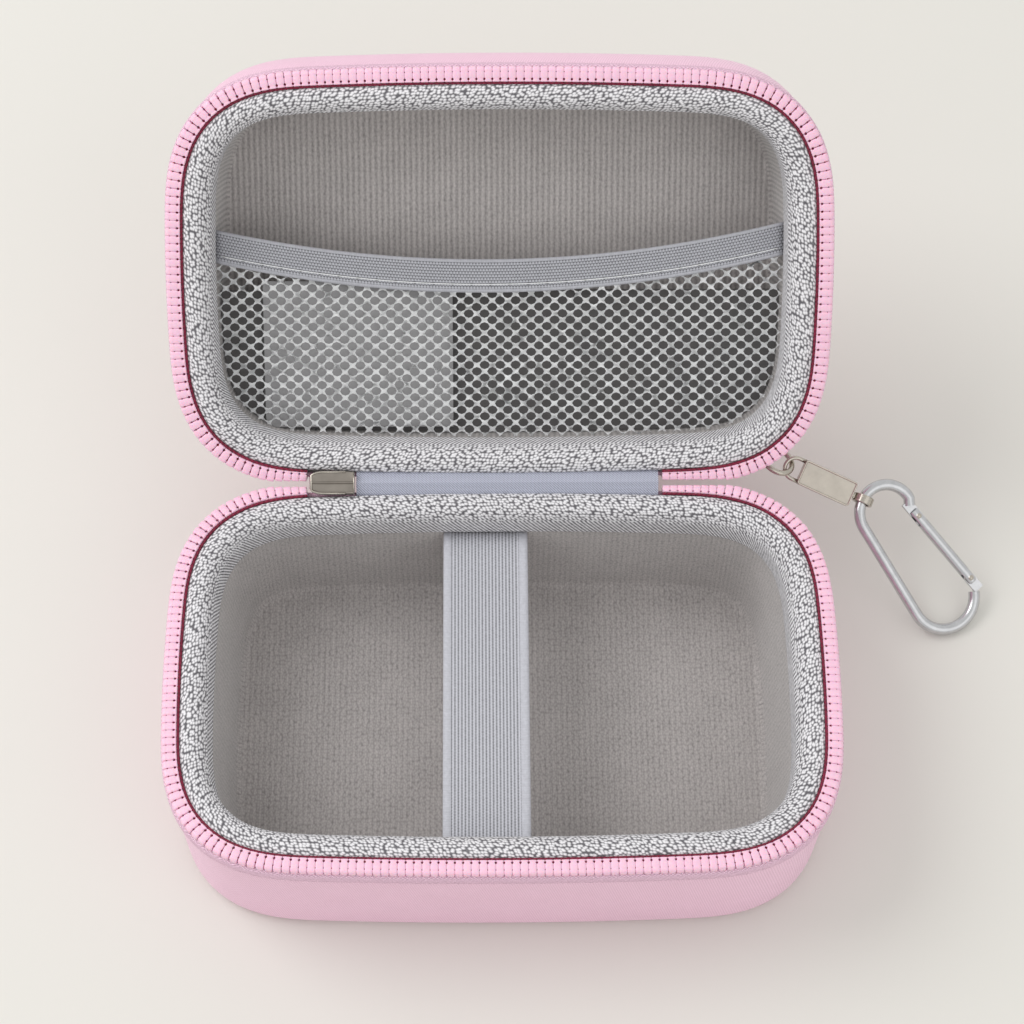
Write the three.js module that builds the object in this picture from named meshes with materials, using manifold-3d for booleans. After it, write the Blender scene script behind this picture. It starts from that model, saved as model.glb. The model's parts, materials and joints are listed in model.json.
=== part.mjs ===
import * as THREE from 'three';
import { mergeVertices } from 'three/addons/utils/BufferGeometryUtils.js';
import Module from 'manifold-3d';

// Glucose meter case: a soft zip case with a hinged lid, a divider strap, a net pocket in the lid
// and a small carabiner on a swivel chain. Millimetres, +Z up, origin under the middle of the base.
// Offsets are measured outwards from the piping line, depths from the rim plane into a tray.

const wasm = await Module();
wasm.setup();

// Outline of the piping, which every skin of the case follows
const CASE_WIDTH = 161;
const CASE_DEPTH = 100.6;
const CORNER_RADIUS = 33.6;
const CORNER_POWER = 3;
const SIDE_BOW = 2.4;
const CORNER_STEPS = 7;
const FLAT_SHARES = [0.5, 0];

// Heights of the two trays and the fabric hinge
const BASE_HEIGHT = 42;
const LID_HEIGHT = 27;
const MATE_GAP = 1.25;
const HINGE_OUT = 2.55;
const LID_ANGLE = THREE.MathUtils.degToRad(135.64);
const SEAM_GAP = 0.3;

// Skins, from the outside in
const COVER_OFFSET = 4.1;
const COVER_THICKNESS = 1;
const COVER_DRAFT = 0.035;
const COVER_BACK_GAP = 0.95;
const SHELL_BACK_SLACK = 0.4;
const BASE_CORNER = 4;
const LID_CORNER = 8;
const SHELL_TOP = 1.9;
const LINING_OFFSET = -6.5;
const LINING_THICKNESS = 0.7;
const BASE_LINING_FLOOR = 38;
const BASE_LINING_CORNER = 6;
const LID_LINING_FLOOR = 23.5;
const LID_LINING_CORNER = 5;
const BASE_SIDE_DRAFT = 0.126;
const BASE_END_DRAFT = 0.018;
const LID_SIDE_DRAFT = 0.106;
const LID_END_DRAFT = 0.064;

// Rim binding: a padded roll with a lip that lies on the lining
const BINDING_START = 0.75;
const BINDING_CROWN = 0.9;
const BINDING_FOOT = 1.6;
const BINDING_ROLL_SHARES = [[0, 0], [0, 0.6], [0.14, 0.88], [0.37, 1], [0.62, 0.88], [0.83, 0.44], [0.97, -0.3]];
const LIP_THICKNESS = 0.8;
const LIP_DEPTH = 9;

// Piping: a thin cord with a stem that is sewn in
const PIPING_RADIUS = 0.45;
const PIPING_STEM = 0.4;
const PIPING_RISE = 0.1;
const PIPING_END = -37.3;

// Zip halves
const TAPE_THICKNESS = 0.45;
const TAPE_TOP = 1.15;
const TAPE_IN = 0.5;
const TAPE_OUT = 4.9;
const TAPE_DROP = 5.2;
const TAPE_BACK_GAP = 0.35;
const COIL_IN = 0.6;
const COIL_OUT = 4.6;
const COIL_TOP = 0.9;
const COIL_FOOT = 0.85;
const COIL_BEVEL = 0.5;
const ZIP_START = -50.2;
const ZIP_END = 42;

// Fabric hinge
const HINGE_LEFT = -37.5;
const HINGE_RIGHT = 41;
const HINGE_SKIN_OUT = 0.1;
const HINGE_SKIN_IN = 0.5;
const HINGE_LEAF = 11.25;
const HINGE_FLANGE = 2;
const HINGE_CREST = 0.95;
const HINGE_CROWN_SHARES = [[0.75, 0.58], [0.45, 0.2]];

// Divider strap across the base
const STRAP_WIDTH = 22;
const STRAP_THICKNESS = 1.2;
const STRAP_CENTRE = -4;
const STRAP_DROP = 9.4;

// Lid pocket: an elastic hem and a net, stretched across the lid
const POCKET_DROP = 9.4;
const HEM_WIDTH = 8.8;
const HEM_THICKNESS = 1.2;
const HEM_TOP = -4;
const HEM_BOW = 8.75;
const HEM_SKEW = 0.95;
const NET_THICKNESS = 0.5;
const NET_COLUMNS = 22;
const NET_ROWS = 8;
const NET_HOLE_SHARE = 0.72;
const NET_EDGE = 1.6;
const NET_STAGGER_SHARE = 0.5;
const HEM_STEPS = 12;
const HEM_END_SHARE = 0.08;

// Zip slider at the hinge, and its pull tab
const SLIDER_LEFT = -49.6;
const SLIDER_RIGHT = -37.9;
const SLIDER_HALF = 2.75;
const SLIDER_TOP_HALF = 2.3;
const SLIDER_SHOULDER = 0.5;
const SLIDER_PLATE = 1.2;
const SLIDER_RISE = 0.7;
const SLIDER_NECK_HALF = 0.8;
const SLIDER_NECK_INSET = 3;
const SLIDER_BACK_HALF = 1.9;
const SLIDER_BACK_TOP = -1.4;
const SLIDER_BACK_FOOT = -2.3;
const SLIDER_NOSE_SHARE = 0.6;
const LUG_RADIUS = 1.3;
const LUG_GAP = 1.4;
const LUG_WIDTH = 0.6;
const LUG_DROP = 1.5;
const PULLER_PIN = 0.45;
const PULLER_LENGTH = 22;
const PULLER_HALF = 1.7;
const PULLER_NECK = 7;
const PULLER_THICKNESS = 1.2;

// Chain: a webbing tab on the lid, a ring, a plate with a wire loop and a swivel eye
const TAB_FACING = THREE.MathUtils.degToRad(56);
const TAB_SHIFT = 1.4;
const TAB_DEPTH = 18.6;
const TAB_WIDTH = 3;
const TAB_EYE_BORE = 1.3;
const TAB_EYE_RADIUS = 1.95;
const TAB_STRIP = 1;
const TAB_LEG = 5;
const RING_RADIUS = 4.3;
const RING_WIRE = 0.75;
const CHAIN_HEADING = THREE.MathUtils.degToRad(-18.1);
const CHAIN_DROP = THREE.MathUtils.degToRad(18.6);
const PLATE_ROLL = THREE.MathUtils.degToRad(27);
const RING_ROLL = THREE.MathUtils.degToRad(-17.6);
const PLATE_LENGTH = 15.6;
const PLATE_WIDTH = 7;
const PLATE_THICKNESS = 2.2;
const PLATE_CORNER = 1.2;
const PLATE_BORDER = 0.9;
const PLATE_PANEL = 0.4;
const LOOP_REACH = 4.6;
const LOOP_WIRE = 0.6;
const LOOP_HALF = 2.9;
const LOOP_SLACK = 0.45;
const POST_RADIUS = 0.6;
const POST_BORE = 0.9;
const POST_DEPTH = 3;
const EYE_BORE = 2.05;
const EYE_RADIUS = 2.75;
const EYE_WIDTH = 2.4;
const EYE_REACH = 3.2;
const EYE_ROLL = THREE.MathUtils.degToRad(21.2);

// Carabiner: positions run down its spine and across towards the gate
const CLIP_WIRE = 1.55;
const CLIP_HEADING = THREE.MathUtils.degToRad(-53.2);
const CLIP_DROP = THREE.MathUtils.degToRad(28.8);
const CLIP_ROLL = THREE.MathUtils.degToRad(5.7);
const FOOT_TURN_SHARE = 0.86;
const CLIP_TOP_RADIUS = 7.6;
const CLIP_FOOT_RADIUS = 9;
const CLIP_TOP = 3;
const CLIP_FOOT = 30.4;
const CLIP_BAND_ACROSS = 3.9;
const CLIP_BAND_DOWN = -3.5;
const NOSE_ACROSS = 14.2;
const NOSE_DOWN = 6.5;
const TONGUE_THICKNESS = 1.1;
const TONGUE_RADIUS = 1.4;
const GATE_RADIUS = 1.5;
const GATE_SLOT = 1.8;
const GATE_SLOT_DEPTH = 4.2;
const GATE_PIN = 0.5;
const GATE_PIN_BORE = 0.8;
const GATE_PIN_LENGTH = 3.6;
const NOTCH_BORE = 0.85;
const SPRING_RADIUS = 0.5;
const SPRING_BORE = 0.85;
const SPRING_LENGTH = 8;
const SPRING_BORE_LENGTH = 9.5;
const NOTCH_SIDE = 1;
const NOSE_PIN_IN = 1.9;
const TAIL_REACH = 4;
const GATE_TAIL = 1.4;
const GATE_SLOT_END = 2.2;
const OVERRUN = 1;
const MERGE_SPAN = 1e-4;

const ROUND_STEPS = 14;
const WIRE_SIDES = 8;

const HALF_WIDTH = CASE_WIDTH / 2;
const HALF_DEPTH = CASE_DEPTH / 2;
const HINGE_Y = HALF_DEPTH + HINGE_OUT;
const HINGE_Z = BASE_HEIGHT + MATE_GAP;
const COVER_BACK = HINGE_Y - COVER_BACK_GAP;
const TAPE_BACK = HINGE_Y - TAPE_BACK_GAP;

const FINISH = {
  cover: { color: 0xe8b4c3, roughness: 0.85, metalness: 0 },
  foam: { color: 0x8d8688, roughness: 0.95, metalness: 0 },
  lining: { color: 0x8b8383, roughness: 0.95, metalness: 0 },
  binding: { color: 0xb0aeb0, roughness: 0.9, metalness: 0 },
  piping: { color: 0x8a2436, roughness: 0.8, metalness: 0 },
  tape: { color: 0xeeb6c8, roughness: 0.85, metalness: 0 },
  teeth: { color: 0xf5c3d8, roughness: 0.45, metalness: 0 },
  strap: { color: 0xa7a6ac, roughness: 0.85, metalness: 0 },
  twill: { color: 0xa8aab9, roughness: 0.8, metalness: 0 },
  net: { color: 0xc6c4c6, roughness: 0.8, metalness: 0 },
  slider: { color: 0x7b736e, roughness: 0.35, metalness: 0.9 },
  nickel: { color: 0xbbb1a9, roughness: 0.25, metalness: 1 },
};

function finish(name) {
  return new THREE.MeshStandardMaterial({ name, ...FINISH[name] });
}

function sub(name, geometry, finishName) {
  const mesh = new THREE.Mesh(geometry, finish(finishName));
  mesh.name = name;
  return mesh;
}

// A quarter of the piping line, from the middle of the right side to the middle of the back
function quarterOutline() {
  const straightWidth = HALF_WIDTH - CORNER_RADIUS;
  const straightDepth = HALF_DEPTH - CORNER_RADIUS;
  const points = [[HALF_WIDTH, 0]];
  for (let i = 0; i <= CORNER_STEPS; i += 1) {
    const angle = (i / CORNER_STEPS) * (Math.PI / 2);
    const across = Math.cos(angle);
    const along = Math.sin(angle);
    const reach = CORNER_RADIUS / (across ** CORNER_POWER + along ** CORNER_POWER) ** (1 / CORNER_POWER);
    points.push([straightWidth + reach * across, straightDepth + reach * along]);
  }
  for (const share of FLAT_SHARES) points.push([straightWidth * share, HALF_DEPTH]);
  return points.map(([x, y]) => {
    const widthShare = x / HALF_WIDTH;
    const depthShare = y / HALF_DEPTH;
    return [x - SIDE_BOW * depthShare ** 2 * widthShare, y - SIDE_BOW * widthShare ** 2 * depthShare];
  });
}

// The whole piping line from the middle of the back, round by the left, with outward normals
function rimOutline() {
  const quarter = quarterOutline();
  const backwards = [...quarter].reverse();
  const points = [
    ...backwards.slice(0, -1).map(([x, y]) => [-x, y]),
    ...quarter.slice(0, -1).map(([x, y]) => [-x, -y]),
    ...backwards.slice(0, -1).map(([x, y]) => [x, -y]),
    ...quarter.slice(0, -1),
  ];
  return points.map(([x, y], i) => {
    const [ax, ay] = points[(i + points.length - 1) % points.length];
    const [bx, by] = points[(i + 1) % points.length];
    const length = Math.hypot(bx - ax, by - ay);
    return { x, y, nx: (by - ay) / length, ny: (ax - bx) / length };
  });
}

const RIM = rimOutline();

// The point of the piping line between two of its points, where x reaches a value
function rimAt(from, to, x) {
  const share = (x - from.x) / (to.x - from.x);
  const blend = (a, b) => a + (b - a) * share;
  return { x, y: blend(from.y, to.y), nx: blend(from.nx, to.nx), ny: blend(from.ny, to.ny) };
}

// The piping line from a place on the back, round by the left and the front, to a place on the back
function rimPath(startX, endX) {
  const first = RIM.findIndex((rim) => rim.x < startX);
  const path = [rimAt(RIM[first - 1], RIM[first], startX)];
  for (let i = first; i < first + RIM.length; i += 1) {
    const rim = RIM[i % RIM.length];
    if (i > RIM.length - first && rim.x < endX) {
      path.push(rimAt(RIM[(i - 1) % RIM.length], rim, endX));
      break;
    }
    path.push(rim);
  }
  return path;
}

// A point of a skin: offset from the piping line at the sides and at the front and back, and depth
function rimPlace(rim, point, half) {
  let offset = point.side * rim.nx ** 2 + point.end * rim.ny ** 2;
  if (point.back !== undefined && rim.ny > 0) offset = Math.min(offset, (point.back - rim.y) / rim.ny);
  const x = rim.x + rim.nx * offset;
  const y = rim.y + rim.ny * offset;
  if (half === 'lid') return new THREE.Vector3(x, y - HINGE_Y, MATE_GAP + point.depth);
  return new THREE.Vector3(x, y, BASE_HEIGHT - point.depth);
}

function signedVolume(points, faces) {
  const normal = new THREE.Vector3();
  return faces.reduce((sum, [a, b, c]) => sum + points[a].dot(normal.crossVectors(points[b], points[c])), 0);
}

// One closed surface through rows of points, each row a closed loop. The rows close on themselves,
// or the first and the last row are capped by the flat faces of their outline.
function loft(rows, capOutline) {
  const size = rows[0].length;
  const points = rows.flat();
  const faces = [];
  const bands = capOutline ? rows.length - 1 : rows.length;
  for (let i = 0; i < bands; i += 1) {
    const next = (i + 1) % rows.length;
    for (let j = 0; j < size; j += 1) {
      const k = (j + 1) % size;
      const [a, b, c, d] = [i * size + j, i * size + k, next * size + k, next * size + j];
      if (rows[next][j].z > rows[i][j].z) faces.push([a, b, c], [a, c, d]);
      else faces.push([a, b, d], [b, c, d]);
    }
  }
  if (capOutline) {
    const last = (rows.length - 1) * size;
    const winding = Math.sign(THREE.ShapeUtils.area(capOutline));
    for (const corners of THREE.ShapeUtils.triangulateShape(capOutline, [])) {
      const turn = Math.sign(THREE.ShapeUtils.area(corners.map((corner) => capOutline[corner])));
      const [a, b, c] = turn === winding ? corners : [...corners].reverse();
      faces.push([c, b, a], [a + last, b + last, c + last]);
    }
  }
  return surface(points, faces);
}

function surface(points, faces) {
  const outward = signedVolume(points, faces) > 0 ? faces : faces.map(([a, b, c]) => [c, b, a]);
  const geometry = new THREE.BufferGeometry().setFromPoints(points);
  geometry.setIndex(outward.flat());
  geometry.computeVertexNormals();
  return geometry;
}

// Face of a tray from its top edge down its wall and round its corner to the floor
function trayFace({ side, end, sideDraft, endDraft, top, floor, corner, back }) {
  const at = (depth, inset) => ({
    side: side - sideDraft * depth - inset,
    end: end - endDraft * depth - inset,
    depth,
    back: back === undefined ? undefined : back - inset,
  });
  const points = [at(top, 0)];
  for (const share of [0, 0.5, 1]) {
    const angle = share * (Math.PI / 2);
    points.push(at(floor - corner + corner * Math.sin(angle), corner * (1 - Math.cos(angle))));
  }
  return points;
}

// A tray is one row of points per ring, from the middle of its underside over the rim to its floor
function tray(outer, inner, half) {
  const section = [...trayFace(outer).reverse(), ...trayFace(inner)];
  const rows = section.map((point) => RIM.map((rim) => rimPlace(rim, point, half)));
  return loft(rows, RIM.map(({ x, y }) => new THREE.Vector2(x, y)));
}

// A strip with a closed section that follows the piping line all round, or along a path
function rimStrip(section, half, path) {
  const rows = (path ?? RIM).map((rim) => section.map((point) => rimPlace(rim, point, half)));
  return loft(rows, path ? section.map(({ side, depth }) => new THREE.Vector2(side, depth)) : null);
}

const LININGS = {
  base: { sideDraft: BASE_SIDE_DRAFT, endDraft: BASE_END_DRAFT, floor: BASE_LINING_FLOOR, corner: BASE_LINING_CORNER },
  lid: { sideDraft: LID_SIDE_DRAFT, endDraft: LID_END_DRAFT, floor: LID_LINING_FLOOR, corner: LID_LINING_CORNER },
};
const TRAYS = {
  base: { floor: BASE_HEIGHT, corner: BASE_CORNER },
  lid: { floor: LID_HEIGHT, corner: LID_CORNER },
};

// The outer face of a tray, moved inwards, and the inner face, moved outwards
function outerFace(half, inset) {
  const { floor, corner } = TRAYS[half];
  const offset = COVER_OFFSET - inset;
  const draft = { sideDraft: COVER_DRAFT, endDraft: COVER_DRAFT };
  return { ...draft, side: offset, end: offset, top: SHELL_TOP, floor: floor - inset, corner: corner - inset,
    back: COVER_BACK - inset };
}

function innerFace(half, outset) {
  const lining = LININGS[half];
  const offset = LINING_OFFSET + outset;
  return { ...lining, side: offset, end: offset, top: SHELL_TOP, floor: lining.floor + outset,
    corner: lining.corner + outset };
}

function liningAt(half, depth) {
  const { sideDraft, endDraft } = LININGS[half];
  return { side: LINING_OFFSET - sideDraft * depth, end: LINING_OFFSET - endDraft * depth, depth };
}

function onLining(half, depth, inset) {
  const wall = liningAt(half, depth);
  return { side: wall.side - inset, end: wall.end - inset, depth };
}

function even(offset, depth, back) {
  return { side: offset, end: offset, depth, back };
}

function cover(half) {
  return tray(outerFace(half, 0), outerFace(half, COVER_THICKNESS), half);
}

function shell(half) {
  const outer = outerFace(half, COVER_THICKNESS + SEAM_GAP);
  outer.back -= SHELL_BACK_SLACK;
  return tray(outer, innerFace(half, LINING_THICKNESS + SEAM_GAP), half);
}

function lining(half) {
  return tray(innerFace(half, LINING_THICKNESS), innerFace(half, 0), half);
}

// The roll bulges inwards from the piping to the lip, as shares of the run between them
function binding(half) {
  const lipIn = SEAM_GAP + LIP_THICKNESS;
  const reach = onLining(half, BINDING_FOOT, lipIn);
  const run = (share) => ({
    side: -BINDING_START + (reach.side + BINDING_START) * share,
    end: -BINDING_START + (reach.end + BINDING_START) * share,
  });
  const crown = BINDING_ROLL_SHARES.map(([across, up]) => ({
    ...run(across),
    depth: BINDING_FOOT - (BINDING_FOOT + BINDING_CROWN) * up,
  }));
  return rimStrip([
    ...crown,
    onLining(half, LIP_DEPTH, lipIn),
    onLining(half, LIP_DEPTH, SEAM_GAP),
    onLining(half, BINDING_FOOT, SEAM_GAP),
  ], half);
}

function piping(half) {
  const slim = PIPING_RADIUS * Math.SQRT1_2;
  const stem = PIPING_STEM / 2;
  const foot = SHELL_TOP - SEAM_GAP;
  return rimStrip([
    even(stem, foot),
    even(-stem, foot),
    even(-slim, slim - PIPING_RISE),
    even(-PIPING_RADIUS, -PIPING_RISE),
    even(-slim, -slim - PIPING_RISE),
    even(slim, -slim - PIPING_RISE),
    even(PIPING_RADIUS, -PIPING_RISE),
    even(slim, slim - PIPING_RISE),
  ], half, rimPath(ZIP_START, PIPING_END));
}

function zipTape(half) {
  const below = TAPE_TOP + TAPE_THICKNESS;
  const inside = TAPE_OUT - TAPE_THICKNESS;
  return rimStrip([
    even(TAPE_IN, TAPE_TOP),
    even(TAPE_OUT, TAPE_TOP, TAPE_BACK),
    even(TAPE_OUT, TAPE_DROP, TAPE_BACK),
    even(inside, TAPE_DROP, TAPE_BACK - TAPE_THICKNESS / 2),
    even(inside, below, TAPE_BACK - TAPE_THICKNESS / 2),
    even(TAPE_IN, below),
  ], half, rimPath(ZIP_START, ZIP_END));
}

function zipTeeth(half) {
  return rimStrip([
    even(COIL_IN, COIL_FOOT),
    even(COIL_IN, -COIL_TOP + COIL_BEVEL),
    even(COIL_IN + COIL_BEVEL, -COIL_TOP),
    even(COIL_OUT - COIL_BEVEL, -COIL_TOP, TAPE_BACK - COIL_BEVEL),
    even(COIL_OUT, -COIL_TOP + COIL_BEVEL, TAPE_BACK),
    even(COIL_OUT, COIL_FOOT, TAPE_BACK),
  ], half, rimPath(ZIP_START, ZIP_END));
}

// The hinge strip's section at rest: from the base's back wall over the fold to the lid's back wall
function hingeFabric() {
  const fold = (inward, away) => new THREE.Vector2(
    HINGE_Y + inward * -Math.cos(LID_ANGLE) + away * Math.sin(LID_ANGLE),
    HINGE_Z + inward * Math.sin(LID_ANGLE) + away * Math.cos(LID_ANGLE),
  );
  const stand = (inward, away) => new THREE.Vector2(HINGE_Y - inward, HINGE_Z - away);
  const halfValley = (Math.PI - LID_ANGLE) / 2;
  const crest = (height) => new THREE.Vector2(
    HINGE_Y - Math.sin(halfValley) * height,
    HINGE_Z + Math.cos(halfValley) * height,
  );
  const flangeTop = MATE_GAP + TAPE_TOP;
  const flangeFoot = MATE_GAP + SHELL_TOP - SEAM_GAP;
  const half = [
    [HINGE_SKIN_OUT, HINGE_LEAF],
    [HINGE_SKIN_IN, HINGE_LEAF],
    [HINGE_SKIN_IN, flangeFoot],
    [HINGE_FLANGE, flangeFoot],
    [HINGE_FLANGE, flangeTop],
    ...HINGE_CROWN_SHARES.map(([inward, away]) => [HINGE_FLANGE * inward, flangeTop * away]),
  ];
  const outline = [
    ...half.map(([inward, away]) => stand(inward, away)),
    crest(HINGE_CREST),
    ...half.reverse().map(([inward, away]) => fold(inward, away)),
    crest(HINGE_SKIN_OUT / Math.sin(halfValley)),
  ];
  const rows = [HINGE_LEFT, HINGE_RIGHT].map((x) => outline.map(({ x: y, y: z }) => new THREE.Vector3(x, y, z)));
  return loft(rows, outline);
}

function circle(radius, sides, turn = 0) {
  return Array.from({ length: sides }, (_, i) => {
    const angle = turn + (i / sides) * Math.PI * 2;
    return new THREE.Vector2(radius * Math.cos(angle), radius * Math.sin(angle));
  });
}

function prism(points, depth, holes = []) {
  const shape = new THREE.Shape(points);
  shape.holes = holes.map((hole) => new THREE.Path(hole));
  return new THREE.ExtrudeGeometry(shape, { depth, bevelEnabled: false });
}

function wire(points, radius, sides, steps, closed = false) {
  const path = new THREE.CatmullRomCurve3(points, closed, 'centripetal');
  const shape = new THREE.Shape(circle(radius, sides));
  return new THREE.ExtrudeGeometry(shape, { steps, bevelEnabled: false, extrudePath: path });
}

function rod(radius, length, sides = ROUND_STEPS) {
  return new THREE.CylinderGeometry(radius, radius, length, sides).rotateZ(-Math.PI / 2);
}

function bar(length, width, height) {
  return new THREE.BoxGeometry(length, width, height);
}

function toSolid(geometry) {
  const bare = geometry.clone();
  bare.deleteAttribute('normal');
  bare.deleteAttribute('uv');
  const merged = mergeVertices(bare, MERGE_SPAN);
  const vertProperties = Float32Array.from(merged.attributes.position.array);
  const triVerts = Uint32Array.from(merged.index.array);
  return new wasm.Manifold(new wasm.Mesh({ numProp: 3, vertProperties, triVerts }));
}

function fromSolid(solid) {
  const { vertProperties, triVerts } = solid.getMesh();
  const geometry = new THREE.BufferGeometry();
  geometry.setAttribute('position', new THREE.BufferAttribute(vertProperties, 3));
  geometry.setIndex(new THREE.BufferAttribute(triVerts, 1));
  geometry.computeVertexNormals();
  return geometry;
}

function join(...geometries) {
  return fromSolid(geometries.map(toSolid).reduce((whole, piece) => whole.add(piece)));
}

function cut(geometry, ...tools) {
  return fromSolid(tools.map(toSolid).reduce((whole, tool) => whole.subtract(tool), toSolid(geometry)));
}

function dividerStrap() {
  const wall = onLining('base', STRAP_DROP + STRAP_THICKNESS, SEAM_GAP);
  const bowed = SIDE_BOW * ((STRAP_WIDTH / 2 - STRAP_CENTRE) / HALF_WIDTH) ** 2;
  const length = 2 * (HALF_DEPTH + wall.end - bowed);
  const strap = sub('divider_strap', bar(STRAP_WIDTH, length, STRAP_THICKNESS), 'strap');
  strap.position.set(STRAP_CENTRE, 0, BASE_HEIGHT - STRAP_DROP - STRAP_THICKNESS / 2);
  return strap;
}

// Where the pocket's hem runs, as the distance of its upper edge behind the middle of the lid
function hemEdge(x) {
  const share = x / HALF_WIDTH;
  return HEM_TOP - HEM_BOW * share ** 2 - HEM_SKEW * share;
}

function pocketHalfWidth() {
  return HALF_WIDTH + liningAt('lid', POCKET_DROP + HEM_THICKNESS).side - SEAM_GAP - SIDE_BOW * HEM_END_SHARE;
}

function pocketHem() {
  const reach = pocketHalfWidth();
  const across = Array.from({ length: HEM_STEPS + 1 }, (_, i) => reach * (2 * (i / HEM_STEPS) - 1));
  const upper = across.map((x) => new THREE.Vector2(x, hemEdge(x)));
  const lower = across.reverse().map((x) => new THREE.Vector2(x, hemEdge(x) + HEM_WIDTH));
  const hem = sub('pocket_elastic', prism([...upper, ...lower], HEM_THICKNESS), 'strap');
  hem.position.set(0, -HINGE_Y, MATE_GAP + POCKET_DROP);
  return hem;
}

function pocketNet() {
  const edge = onLining('lid', POCKET_DROP + NET_THICKNESS, SEAM_GAP);
  const ring = RIM.map((rim) => rimPlace(rim, edge, 'base')).map(({ x, y }) => new THREE.Vector2(x, y));
  const start = (x) => hemEdge(x) + HEM_WIDTH + SEAM_GAP;
  const reach = pocketHalfWidth();
  const kept = ring.filter(({ x, y }) => y > start(x) + NET_EDGE);
  const right = kept.filter(({ x }) => x > 0);
  const left = kept.filter(({ x }) => x <= 0);
  const across = Array.from({ length: HEM_STEPS + 1 }, (_, i) => reach * (2 * (i / HEM_STEPS) - 1));
  const front = across.map((x) => new THREE.Vector2(x, start(x)));
  const outline = [...front, ...right, ...left];
  const inside = (x, y) => y > start(x) + NET_EDGE && ring.every((point, i) => {
    const next = ring[(i + 1) % ring.length];
    const length = next.distanceTo(point);
    const away = (next.x - point.x) * (y - point.y) - (next.y - point.y) * (x - point.x);
    return away / length > NET_EDGE;
  });
  const pitchX = (2 * reach) / NET_COLUMNS;
  const pitchY = (edge.end + HALF_DEPTH - HEM_TOP) / NET_ROWS;
  const holes = [];
  for (let row = 0; row <= 2 * NET_ROWS; row += 1) {
    for (let column = 0; column <= NET_COLUMNS; column += 1) {
      const x = pitchX * (column - NET_COLUMNS / 2 + (row % 2) / 2);
      const y = HALF_DEPTH + edge.end - pitchY * NET_STAGGER_SHARE * (row + 1);
      const halfX = (pitchX * NET_HOLE_SHARE) / 2;
      const halfY = pitchY * NET_HOLE_SHARE * NET_STAGGER_SHARE;
      const hole = [[-halfX, 0], [0, -halfY], [halfX, 0], [0, halfY]].map(([dx, dy]) => [x + dx, y + dy]);
      if (hole.every(([hx, hy]) => inside(hx, hy))) holes.push(hole.map(([hx, hy]) => new THREE.Vector2(hx, hy)));
    }
  }
  const net = sub('pocket_net', prism(outline, NET_THICKNESS, holes), 'net');
  net.position.set(0, -HINGE_Y, MATE_GAP + POCKET_DROP);
  return net;
}

// The slider straddles both zip ends: local X along the hinge, Z out of the fold towards the viewer
function zipSlider() {
  const length = SLIDER_RIGHT - SLIDER_LEFT;
  const slab = (half, foot, top, inset) => bar(length - 2 * inset, 2 * half, top - foot)
    .translate(length / 2, 0, (top + foot) / 2);
  const section = [
    [SLIDER_HALF, SLIDER_RISE],
    [SLIDER_HALF, SLIDER_RISE + SLIDER_SHOULDER],
    [SLIDER_TOP_HALF, SLIDER_RISE + SLIDER_PLATE],
    [-SLIDER_TOP_HALF, SLIDER_RISE + SLIDER_PLATE],
    [-SLIDER_HALF, SLIDER_RISE + SLIDER_SHOULDER],
    [-SLIDER_HALF, SLIDER_RISE],
  ].map(([y, z]) => new THREE.Vector2(y, z));
  const nose = cut(
    prism(section, length).rotateX(Math.PI / 2).rotateZ(Math.PI / 2),
    cornerCutter(1),
    cornerCutter(-1),
  );
  const drop = SLIDER_BACK_FOOT - LUG_DROP;
  const lugAt = (side) => join(
    bar(2 * LUG_RADIUS, LUG_WIDTH, LUG_DROP + OVERRUN / 2).translate(length / 2, side, drop + (LUG_DROP + OVERRUN / 2) / 2),
    rod(LUG_RADIUS, LUG_WIDTH).rotateZ(Math.PI / 2).translate(length / 2, side, drop),
  );
  const lugSide = LUG_GAP / 2 + LUG_WIDTH / 2;
  const body = join(
    nose,
    slab(SLIDER_NECK_HALF, SLIDER_BACK_FOOT, SLIDER_RISE + SLIDER_PLATE / 2, SLIDER_NECK_INSET),
    slab(SLIDER_BACK_HALF, SLIDER_BACK_FOOT, SLIDER_BACK_TOP, SLIDER_NECK_INSET / 3),
    lugAt(lugSide),
    lugAt(-lugSide),
  );
  return cut(body, rod(PULLER_PIN + SEAM_GAP, 2 * SLIDER_HALF, WIRE_SIDES).rotateZ(Math.PI / 2).translate(length / 2, 0, drop));
}

function cornerCutter(sign) {
  const size = SLIDER_HALF;
  const shape = [
    new THREE.Vector2(-OVERRUN, sign * (size + OVERRUN)),
    new THREE.Vector2(-OVERRUN, 0),
    new THREE.Vector2(0, sign * size * SLIDER_NOSE_SHARE),
    new THREE.Vector2(size * SLIDER_NOSE_SHARE, sign * size),
    new THREE.Vector2(size * SLIDER_NOSE_SHARE, sign * (size + OVERRUN)),
  ];
  return prism(sign > 0 ? shape : shape.reverse(), 2 * SLIDER_PLATE).translate(0, 0, SLIDER_RISE - SLIDER_PLATE / 2);
}

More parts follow.
